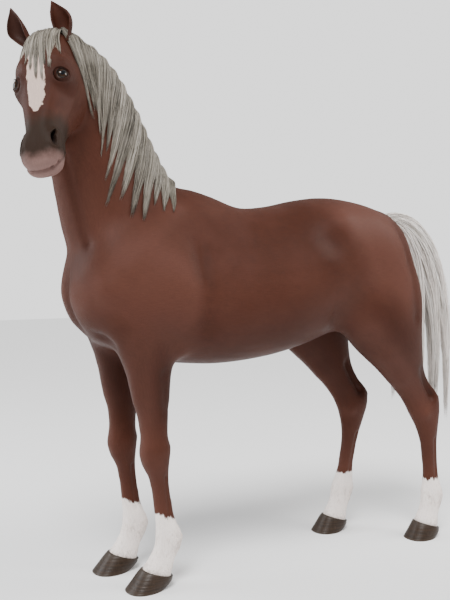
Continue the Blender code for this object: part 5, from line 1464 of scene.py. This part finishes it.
def mixed(tree, share, first, second, blend="MIX"):
    """A colour between two, each given as a socket or a colour."""
    ends = [end if isinstance(end, bpy.types.NodeSocket) else (*end, 1) for end in (first, second)]
    return graph_node(tree, "ShaderNodeMix", {0: share, 6: ends[0], 7: ends[1]}, data_type="RGBA",
                      blend_type=blend).outputs[2]


def level(tree, value, low, high, first=0.0, second=1.0):
    """The value's smooth way from low to high, as first to second."""
    return graph_node(tree, "ShaderNodeMapRange", {0: value, 1: low, 2: high, 3: first, 4: second},
                      interpolation_type="SMOOTHSTEP").outputs[0]


def attribute(tree, name):
    """A number that the mesh keeps for each point."""
    return graph_node(tree, "ShaderNodeAttribute", attribute_name=name).outputs["Fac"]


def noise(tree, place, scale, detail=2.0, roughness=0.5):
    return graph_node(tree, "ShaderNodeTexNoise", {"Vector": place, "Scale": scale, "Detail": detail,
                                                   "Roughness": roughness}).outputs[0]


def stretched(tree, place, scale):
    return graph_node(tree, "ShaderNodeVectorMath", {0: place, 1: scale}, operation="MULTIPLY").outputs[0]


# Colours that no property sets: wet skin, also painted as shade deep in the nostrils, lashes, the eye round
# its iris and the horn's streaks and edges.
WET_SKIN_AND_NOSTRIL_SHADE, LASH_COLOUR = (0.012, 0.007, 0.006), (0.020, 0.012, 0.009)
PUPIL_COLOUR, IRIS_RING = (0.0025, 0.003, 0.005), (0.010, 0.006, 0.004)
EYE_WHITE, EYE_WHITE_DARK = (0.085, 0.050, 0.038), (0.020, 0.010, 0.008)
HORN_STREAK, HORN_TOP, HORN_EDGE = (0.060, 0.038, 0.024), (0.040, 0.028, 0.020), (0.085, 0.058, 0.038)
# How fine the coat's patterns are, across and along the hair where they follow it.
PATCHES, MOTTLE, PORES = 3.2, 26.0, 420.0
HAIR_PATTERN, LOCK_PATTERN, EDGE_PATTERN = (1500.0, 130.0, 1.0), (260.0, 30.0, 1.0), (110.0, 110.0, 22.0)


def coat_colours(looks):
    """The group with the coat's markings, its painted highlights and painted shade: colour, roughness and the
    height of its bump.
    """
    group = bpy.data.node_groups.new("Horse coat colours", "ShaderNodeTree")
    for name, kind in (("Color", "Color"), ("Roughness", "Float"), ("Height", "Float")):
        group.interface.new_socket(name, in_out="OUTPUT", socket_type=f"NodeSocket{kind}")
    marks = {name: attribute(group, name) for name in (
        "painted_highlight", "dark_coat_and_shade", "white", "muzzle", "lips", "inner", "dark", "lash", "tone")}
    place = graph_node(group, "ShaderNodeTexCoord").outputs["Object"]
    lie = graph_node(group, "ShaderNodeUVMap", uv_map="Lie").outputs[0]
    mottle = noise(group, place, MOTTLE, 3.0, 0.6)
    hairs = noise(group, stretched(group, lie, HAIR_PATTERN), 1.0, 2.0, 0.6)
    locks = noise(group, stretched(group, lie, LOCK_PATTERN), 1.0, 3.0, 0.6)
    ragged = calc(group, "ADD", noise(group, stretched(group, place, EDGE_PATTERN), 1.0, 3.0, 0.6), -0.5)
    edge = calc(group, "MULTIPLY_ADD", ragged, 0.55, marks["white"])
    drift = calc(group, "MULTIPLY", calc(group, "ADD", mottle, -0.5), 0.7)
    muzzle, lips = (calc(group, "ADD", marks[name], drift) for name in ("muzzle", "lips"))
    high = level(group, graph_node(group, "ShaderNodeSeparateXYZ", {0: place}).outputs[2], 0.8, 1.2)
    colour = looks.coat_colour
    for share, over in (
            (level(group, noise(group, place, PATCHES, 3.0), 0.30, 0.75, 0.10, 0.55), looks.coat_light_and_highlight),
            (level(group, mottle, 0.40, 0.75, 0.0, 0.16), looks.coat_dark_and_shade),
            # Painted highlights over the muscles.
            (calc(group, "MULTIPLY", marks["painted_highlight"], 0.80), looks.coat_light_and_highlight),
            # Darker coat at the knees and round the eyes, with painted shade in the hollows and underneath.
            (calc(group, "MULTIPLY", marks["dark_coat_and_shade"], 0.75), looks.coat_dark_and_shade),
            (level(group, muzzle, 0.05, 0.95), looks.muzzle_colour),
            (level(group, edge, 0.46, 0.56), mixed(group, high, looks.white_colour, looks.blaze_colour)),
            (level(group, lips, 0.12, 0.95), looks.lip_colour),
            (calc(group, "MULTIPLY", marks["inner"], 0.75), looks.ear_colour),
            # Wet skin at the lids, and painted shade deep in the nostrils.
            (marks["dark"], WET_SKIN_AND_NOSTRIL_SHADE),
            (marks["lash"], LASH_COLOUR)):
        colour = mixed(group, share, colour, over)
    streak = calc(group, "ADD", level(group, hairs, 0.25, 0.75, 0.86, 1.10),
                  level(group, locks, 0.3, 0.7, -0.06, 0.06))
    tone = calc(group, "MULTIPLY_ADD", marks["tone"], 0.36, 0.82)
    value = calc(group, "MULTIPLY", streak, tone)
    bright = graph_node(group, "ShaderNodeCombineColor", {0: value, 1: value, 2: value}).outputs[0]
    colour = mixed(group, 1.0, colour, bright, "MULTIPLY")
    skinlike = calc(group, "MAXIMUM", marks["lips"], marks["muzzle"])
    rough = calc(group, "MULTIPLY_ADD", skinlike, 0.06, level(group, hairs, 0.2, 0.8, 0.44, 0.60))
    fur = calc(group, "MULTIPLY", calc(group, "ADD", hairs, calc(group, "MULTIPLY", locks, 0.8)),
               calc(group, "MULTIPLY_ADD", skinlike, -0.7, 1.0))
    height = calc(group, "MULTIPLY_ADD", noise(group, place, PORES, 2.0),
                  calc(group, "MULTIPLY", skinlike, 0.5), fur)
    graph_node(group, "NodeGroupOutput", {"Color": colour, "Roughness": rough, "Height": height})
    return group


def new_material(name):
    """A material, its tree and its shader."""
    made = bpy.data.materials.new(name)
    made.use_nodes = True
    return made, made.node_tree, made.node_tree.nodes["Principled BSDF"]


def coat_material(name, looks, bump):
    """The coat's colours on short hair: hardly any gloss, and with bump its hairs raised by that much."""
    made, tree, shader = new_material(name)
    group = graph_node(tree, "ShaderNodeGroup", node_tree=bpy.data.node_groups.get("Horse coat colours")
                       or coat_colours(looks))
    fill(tree, shader, {"Base Color": group.outputs["Color"], "Roughness": group.outputs["Roughness"],
                        "Specular IOR Level": 0.12, "Sheen Weight": 0.01, "Sheen Roughness": 0.40,
                        "Sheen Tint": (1.0, 0.72, 0.62, 1)})
    if bump:
        relief = graph_node(tree, "ShaderNodeBump", {"Strength": 0.55, "Distance": bump,
                                                     "Height": group.outputs["Height"]})
        fill(tree, shader, {"Normal": relief.outputs[0]})
    return made


def hair_material(name, colour, dark, light):
    """Long hair: each strand its own tone, greyer at the root and paler in places."""
    made, tree, shader = new_material(name)
    tone, grow = attribute(tree, "tone"), attribute(tree, "grow")
    base = mixed(tree, level(tree, tone, 0.15, 0.48), dark, colour)
    base = mixed(tree, level(tree, tone, 0.55, 0.95), base, light)
    base = mixed(tree, level(tree, grow, 0.0, 0.30, 0.30, 0.0), base, dark)
    place = graph_node(tree, "ShaderNodeTexCoord").outputs["Object"]
    base = mixed(tree, level(tree, noise(tree, place, 14.0, 3.0), 0.35, 0.70, 0.0, 0.25), base, light)
    fill(tree, shader, {"Base Color": base, "Roughness": level(tree, tone, 0.0, 1.0, 0.50, 0.34),
                        "Specular IOR Level": 0.30})
    return made


# The pupil's halves, as shares of the eyeball's radius.
PUPIL_HALF_LENGTH, PUPIL_HALF_HEIGHT = 0.50, 0.30


def distance_of(tree, across, up):
    """How far from the middle of the eye a place is."""
    place = graph_node(tree, "ShaderNodeCombineXYZ", {0: across, 1: up}).outputs[0]
    return graph_node(tree, "ShaderNodeVectorMath", {0: place}, operation="LENGTH").outputs["Value"]


def eye_material(name, looks):
    """A wet eye: a lying oval pupil, a streaked iris, a dark ring round it and a dark white of the eye."""
    made, tree, shader = new_material(name)
    along, up, out = (attribute(tree, f"eye_{way}") for way in ("along", "up", "out"))
    place = graph_node(tree, "ShaderNodeCombineXYZ", {0: along, 1: up, 2: out}).outputs[0]
    radius = distance_of(tree, along, up)
    oval = distance_of(tree, calc(tree, "MULTIPLY", along, 1 / PUPIL_HALF_LENGTH),
                       calc(tree, "MULTIPLY", up, 1 / PUPIL_HALF_HEIGHT))
    spokes = graph_node(tree, "ShaderNodeCombineXYZ", {
        0: calc(tree, "MULTIPLY", calc(tree, "ARCTAN2", up, along), 9.0),
        1: calc(tree, "MULTIPLY", radius, 2.5)}).outputs[0]
    streaks = noise(tree, spokes, 2.0, 4.0, 0.7)
    iris = mixed(tree, level(tree, streaks, 0.35, 0.70), looks.iris_colour, looks.iris_light)
    iris = mixed(tree, level(tree, radius, 0.50, 0.70), iris, IRIS_RING)
    ball = mixed(tree, level(tree, radius, 0.74, 0.80), iris, EYE_WHITE)
    patches = level(tree, noise(tree, place, 9.0, 3.0), 0.45, 0.70, 0.0, 0.6)
    ball = mixed(tree, patches, ball, EYE_WHITE_DARK)
    iris = mixed(tree, level(tree, radius, 0.70, 0.78), iris, ball)
    colour = mixed(tree, level(tree, oval, 0.90, 1.06, 1.0, 0.0), iris, PUPIL_COLOUR)
    fill(tree, shader, {"Base Color": colour, "Roughness": 0.06, "IOR": 1.38, "Specular IOR Level": 0.45})
    return made


def hoof_material(name, looks):
    """Horn: brown, banded by growth, streaked down, and paler at the coronet and at the sole's edge."""
    made, tree, shader = new_material(name)
    place = graph_node(tree, "ShaderNodeTexCoord").outputs["Object"]
    height = graph_node(tree, "ShaderNodeSeparateXYZ", {0: place}).outputs[2]
    bands = noise(tree, stretched(tree, place, (6.0, 6.0, 190.0)), 1.0, 2.0)
    streaks = noise(tree, stretched(tree, place, (260.0, 260.0, 9.0)), 1.0, 3.0, 0.6)
    colour = mixed(tree, level(tree, bands, 0.35, 0.65), looks.hoof_colour, looks.hoof_dark)
    colour = mixed(tree, level(tree, streaks, 0.45, 0.75, 0.0, 0.25), colour, HORN_STREAK)
    colour = mixed(tree, level(tree, height, 0.048, 0.078, 0.0, 0.75), colour, HORN_TOP)
    colour = mixed(tree, level(tree, height, 0.010, 0.0, 0.0, 0.35), colour, HORN_EDGE)
    relief = graph_node(tree, "ShaderNodeBump", {"Strength": 0.35, "Distance": 0.0008, "Height": bands})
    fill(tree, shader, {"Base Color": colour, "Roughness": level(tree, streaks, 0.3, 0.7, 0.36, 0.52),
                        "Specular IOR Level": 0.28, "Normal": relief.outputs[0]})
    return made


# The view: where the camera stands, how far it is turned about the horse and looks down, and its lens.
# Then the lamps: name, place, size, power and colour; and the key light's place, spread and strength.
VIEW_PLACE = np.array((3.1418, -1.7619, 1.3187))
VIEW_TURN, VIEW_DOWN = np.radians(62.774), np.radians(3.063)
VIEW_FILM, VIEW_LENS = 24.0, 33.29
LIGHTS = (("fill light", (-2.2, -4.2, 2.6), 3.0, 150.0, (0.94, 0.97, 1.0)),
          ("back light", (1.6, 3.4, 4.2), 2.6, 170.0, (1.0, 0.99, 0.97)))
KEY_PLACE, KEY_SPREAD, KEY_STRENGTH = (2.4, -1.9, 4.6), np.radians(24), 3.6
LIGHT_AIM = Vector((0.0, 0.0, 1.1))


FLOOR_HALF = 14.0


def make_floor(stage):
    """A matt square under the horse."""
    corners = ((-1, -1, 0), (1, -1, 0), (1, 1, 0), (-1, 1, 0))
    floor = new_object("floor", np.array(corners, float) * FLOOR_HALF, ((0, 1, 2, 3),))
    made, tree, shader = new_material("Floor")
    fill(tree, shader, {"Base Color": (*stage.floor_colour, 1), "Roughness": 0.85})
    floor.data.materials.append(made)
    return floor


def make_lamps(stage):
    """Two soft area lamps and a soft sun, all turned to the horse."""
    lamps = []
    for name, place, size, power, colour in LIGHTS:
        light = bpy.data.lights.new(name, "AREA")
        light.shape, light.size, light.energy, light.color = "DISK", size, power * stage.light, colour
        lamps.append(show(name, light))
        lamps[-1].location = place
        lamps[-1].rotation_euler = (LIGHT_AIM - Vector(place)).to_track_quat("-Z", "Y").to_euler()
    light = bpy.data.lights.new("key light", "SUN")
    light.angle, light.energy = KEY_SPREAD, KEY_STRENGTH * stage.light
    lamps.append(show("key light", light))
    lamps[-1].rotation_euler = Vector(KEY_PLACE).to_track_quat("Z", "Y").to_euler()
    return lamps


def make_sky(stage):
    """An even light from all round, which the camera sees as a pale backdrop."""
    world = bpy.data.worlds.new("Studio")
    world.use_nodes = True
    tree = world.node_tree
    seen = graph_node(tree, "ShaderNodeLightPath").outputs["Is Camera Ray"]
    strength = level(tree, seen, 0.0, 1.0, stage.sky_strength, stage.backdrop_strength)
    fill(tree, tree.nodes["Background"], {"Color": (*stage.sky_colour, 1), "Strength": strength})
    bpy.context.scene.world = world


def make_camera():
    """The scene's camera, at the view."""
    sideways, ahead, downwards = np.sin(VIEW_TURN), -np.cos(VIEW_TURN), np.sin(VIEW_DOWN)
    back = np.array((sideways * np.cos(VIEW_DOWN), ahead * np.cos(VIEW_DOWN), downwards))
    right = np.array((-ahead, sideways, 0.0))
    matrix = np.eye(4)
    matrix[:3, 0], matrix[:3, 1], matrix[:3, 2] = right, np.cross(back, right), back
    matrix[:3, 3] = VIEW_PLACE + SHIFT
    data = bpy.data.cameras.new("camera")
    data.sensor_fit, data.sensor_height, data.lens = "VERTICAL", VIEW_FILM, VIEW_LENS
    camera = show("camera", data)
    camera.matrix_world = Matrix(matrix.tolist())
    bpy.context.scene.camera = camera


def build_stage(stage):
    """A pale floor, soft lights, a pale sky and the camera."""
    floor, lamps = make_floor(stage), make_lamps(stage)
    make_sky(stage)
    make_camera()


def colour_property(name, description, default):
    return bpy.props.FloatVectorProperty(name=name, description=description, default=default, subtype="COLOR",
                                         size=3, min=0, max=1)


def length_property(name, description, default, low, high):
    return bpy.props.FloatProperty(name=name, description=description, default=default, min=low, max=high,
                                   subtype="DISTANCE", unit="LENGTH")


def count_property(name, description, default, low):
    return bpy.props.IntProperty(name=name, description=description, default=default, min=low)


def strength_property(name, description, default, high):
    return bpy.props.FloatProperty(name=name, description=description, default=default, min=0, max=high)


class HorseLooks(bpy.types.PropertyGroup):
    """Sizes and colours of the horse."""
    coat_colour: colour_property("Coat", "Chestnut of the coat", (0.042, 0.0090, 0.0028))
    # The light coat also paints the highlights over the muscles.
    coat_light_and_highlight: colour_property("Coat, light", "Paler patches and muscles", (0.100, 0.037, 0.025))
    # The dark coat also paints the shade in the hollows and underneath.
    coat_dark_and_shade: colour_property("Coat, dark", "Darker patches and hollows", (0.015, 0.0032, 0.0012))
    white_colour: colour_property("White marks", "Socks and blaze", (0.900, 0.810, 0.760))
    blaze_colour: colour_property("Blaze", "White of the face", (0.660, 0.500, 0.430))
    muzzle_colour: colour_property("Muzzle", "Dark skin above the nostrils", (0.025, 0.0130, 0.0078))
    lip_colour: colour_property("Lips", "Pink and grey lips", (0.200, 0.118, 0.104))
    ear_colour: colour_property("Ear", "Inside of the ears", (0.040, 0.016, 0.011))
    mane_colour: colour_property("Mane", "Flaxen of the mane", (0.225, 0.200, 0.160))
    tail_colour: colour_property("Tail", "Flaxen of the tail", (0.780, 0.710, 0.660))
    tail_light: colour_property("Tail, light", "Palest strands of the tail", (0.930, 0.890, 0.850))
    hair_dark: colour_property("Hair, dark", "Darkest strands of the mane", (0.070, 0.060, 0.047))
    hair_light: colour_property("Hair, light", "Palest strands of the mane", (0.480, 0.435, 0.375))
    forelock_colour: colour_property("Forelock", "Flaxen of the forelock", (0.330, 0.295, 0.240))
    hoof_colour: colour_property("Hoof", "Horn of the hooves", (0.031, 0.0175, 0.0098))
    hoof_dark: colour_property("Hoof, dark", "Darker bands of the hooves", (0.019, 0.011, 0.0065))
    iris_colour: colour_property("Iris", "Ground of the iris", (0.012, 0.0045, 0.002))
    iris_light: colour_property("Iris, light", "Streaks of the iris", (0.055, 0.021, 0.006))
    hair_width: length_property("Hair width", "Mean width of a strand of mane or tail", 0.0018, 0.0005, 0.01)
    tuft_length: length_property("Tuft length", "Mean length of a tuft of the coat", 0.012, 0.002, 0.05)
    mane_strands: count_property("Mane strands", "Strands of the mane", 4600, 100)
    forelock_strands: count_property("Forelock strands", "Strands of the forelock", 2400, 50)
    tail_strands: count_property("Tail strands", "Strands of the tail", 4200, 100)
    tufts: count_property("Tufts", "How many tufts the coat has, against its set number", SET_TUFTS, 100)


class HorseStage(bpy.types.PropertyGroup):
    """Floor and light round the horse."""
    floor_colour: colour_property("Floor", "Colour of the floor", (0.93, 0.93, 0.93))
    sky_colour: colour_property("Sky", "Colour of the light from all round", (1.0, 1.0, 1.0))
    sky_strength: strength_property("Sky strength", "Strength of the light from all round", 0.52, 5)
    backdrop_strength: strength_property("Backdrop strength", "Brightness of the backdrop", 1.7, 10)
    light: strength_property("Light", "Strength of the lamps", 1.0, 10)


def finish_piece(piece, name, make, *finish):
    """Gives the piece the material of that name, which is made once, from the rest."""
    piece.data.materials.clear()
    piece.data.materials.append(bpy.data.materials.get(name) or make(name, *finish))


class HorseOperator:
    """What the operators share: they run the piece's builder on the scene's looks."""
    bl_options = {"REGISTER", "UNDO"}

    def execute(self, context):
        """Builds the piece, or raises an error."""
        self.build(context.scene.horse_looks)
        return {"FINISHED"}


class OBJECT_OT_horse_skin(HorseOperator, bpy.types.Operator):
    """Make the skin over body, neck, head, ears and legs"""
    bl_idname = "object.horse_skin"
    bl_label = "Skin"

    def build(self, looks):
        mesh = make_skin()
        mesh.name = "skin"
        map_skin(mesh)
        values = markings(coordinates(mesh))
        chart = charts_at(coordinates(mesh), point_normals(mesh))
        values["inner"] = np.isin(chart, INSIDE_EARS).astype(float)
        values["tone"] = np.full(len(mesh.vertices), 0.5)
        for key, value in values.items():
            store(mesh, key, value)
        piece = show("skin", mesh)
        settle(piece, "coat", "trunk", "neck", "head", "ear_left", "ear_right", "foreleg_left",
               "foreleg_right", "hindleg_left", "hindleg_right")
        finish_piece(piece, "Horse coat", coat_material, looks, COAT_BUMP)


class OBJECT_OT_horse_eyes(HorseOperator, bpy.types.Operator):
    """Make both eyes"""
    bl_idname = "object.horse_eyes"
    bl_label = "Eyes"

    def build(self, looks):
        for piece in make_eyes():
            finish_piece(piece, "Horse eye", eye_material, looks)


class OBJECT_OT_horse_hooves(HorseOperator, bpy.types.Operator):
    """Make the four hooves"""
    bl_idname = "object.horse_hooves"
    bl_label = "Hooves"

    def build(self, looks):
        for piece in make_hooves():
            finish_piece(piece, "Horse hoof", hoof_material, looks)


class OBJECT_OT_horse_mane(HorseOperator, bpy.types.Operator):
    """Make the mane and the forelock on the skin"""
    bl_idname = "object.horse_mane"
    bl_label = "Mane and forelock"

    def build(self, looks):
        tones = (looks.hair_dark, looks.hair_light)
        for piece in make_mane(looks):
            finish_piece(piece, "Horse mane", hair_material, looks.mane_colour, *tones)
        piece = make_forelock(looks)
        finish_piece(piece, "Horse forelock", hair_material, looks.forelock_colour, *tones)


class OBJECT_OT_horse_tail(HorseOperator, bpy.types.Operator):
    """Make the tail"""
    bl_idname = "object.horse_tail"
    bl_label = "Tail"

    def build(self, looks):
        for piece in make_tail(looks):
            finish_piece(piece, "Horse tail", hair_material, looks.tail_colour, looks.mane_colour,
                         looks.tail_light)


class OBJECT_OT_horse_coat(HorseOperator, bpy.types.Operator):
    """Make the tufts of the coat and the eyelashes on the skin"""
    bl_idname = "object.horse_coat"
    bl_label = "Coat"

    def build(self, looks):
        for piece in (*make_coat(looks), make_lashes()):
            finish_piece(piece, "Horse tufts", coat_material, looks, None)


class OBJECT_OT_horse_stage(bpy.types.Operator):
    """Make floor, lights and camera"""
    bl_idname = "object.horse_stage"
    bl_label = "Stage"
    bl_options = {"REGISTER", "UNDO"}

    def execute(self, context):
        """Builds the stage, or raises an error."""
        build_stage(context.scene.horse_stage)
        return {"FINISHED"}


OPERATORS = (OBJECT_OT_horse_skin, OBJECT_OT_horse_eyes, OBJECT_OT_horse_hooves, OBJECT_OT_horse_mane,
             OBJECT_OT_horse_tail, OBJECT_OT_horse_coat, OBJECT_OT_horse_stage)


class VIEW3D_PT_horse(bpy.types.Panel):
    """The horse's builders and looks"""
    bl_label = "Standing horse"
    bl_space_type = "VIEW_3D"
    bl_region_type = "UI"
    bl_category = "Horse"

    def draw(self, context):
        """Lists the operators and the looks."""
        for operator in OPERATORS:
            self.layout.operator(operator.bl_idname)
        for group in (context.scene.horse_looks, context.scene.horse_stage):
            for name in group.__annotations__:
                self.layout.prop(group, name)


CLASSES = (HorseLooks, HorseStage, *OPERATORS, VIEW3D_PT_horse)


def register():
    for made in CLASSES:
        bpy.utils.register_class(made)
    bpy.types.Scene.horse_looks = bpy.props.PointerProperty(type=HorseLooks)
    bpy.types.Scene.horse_stage = bpy.props.PointerProperty(type=HorseStage)


def unregister():
    del bpy.types.Scene.horse_stage
    del bpy.types.Scene.horse_looks
    for made in reversed(CLASSES):
        bpy.utils.unregister_class(made)


def main():
    """Builds everything in order."""
    register()
    for operator in OPERATORS:
        group, name = operator.bl_idname.split(".")
        getattr(getattr(bpy.ops, group), name)()


if __name__ == "__main__":
    main()
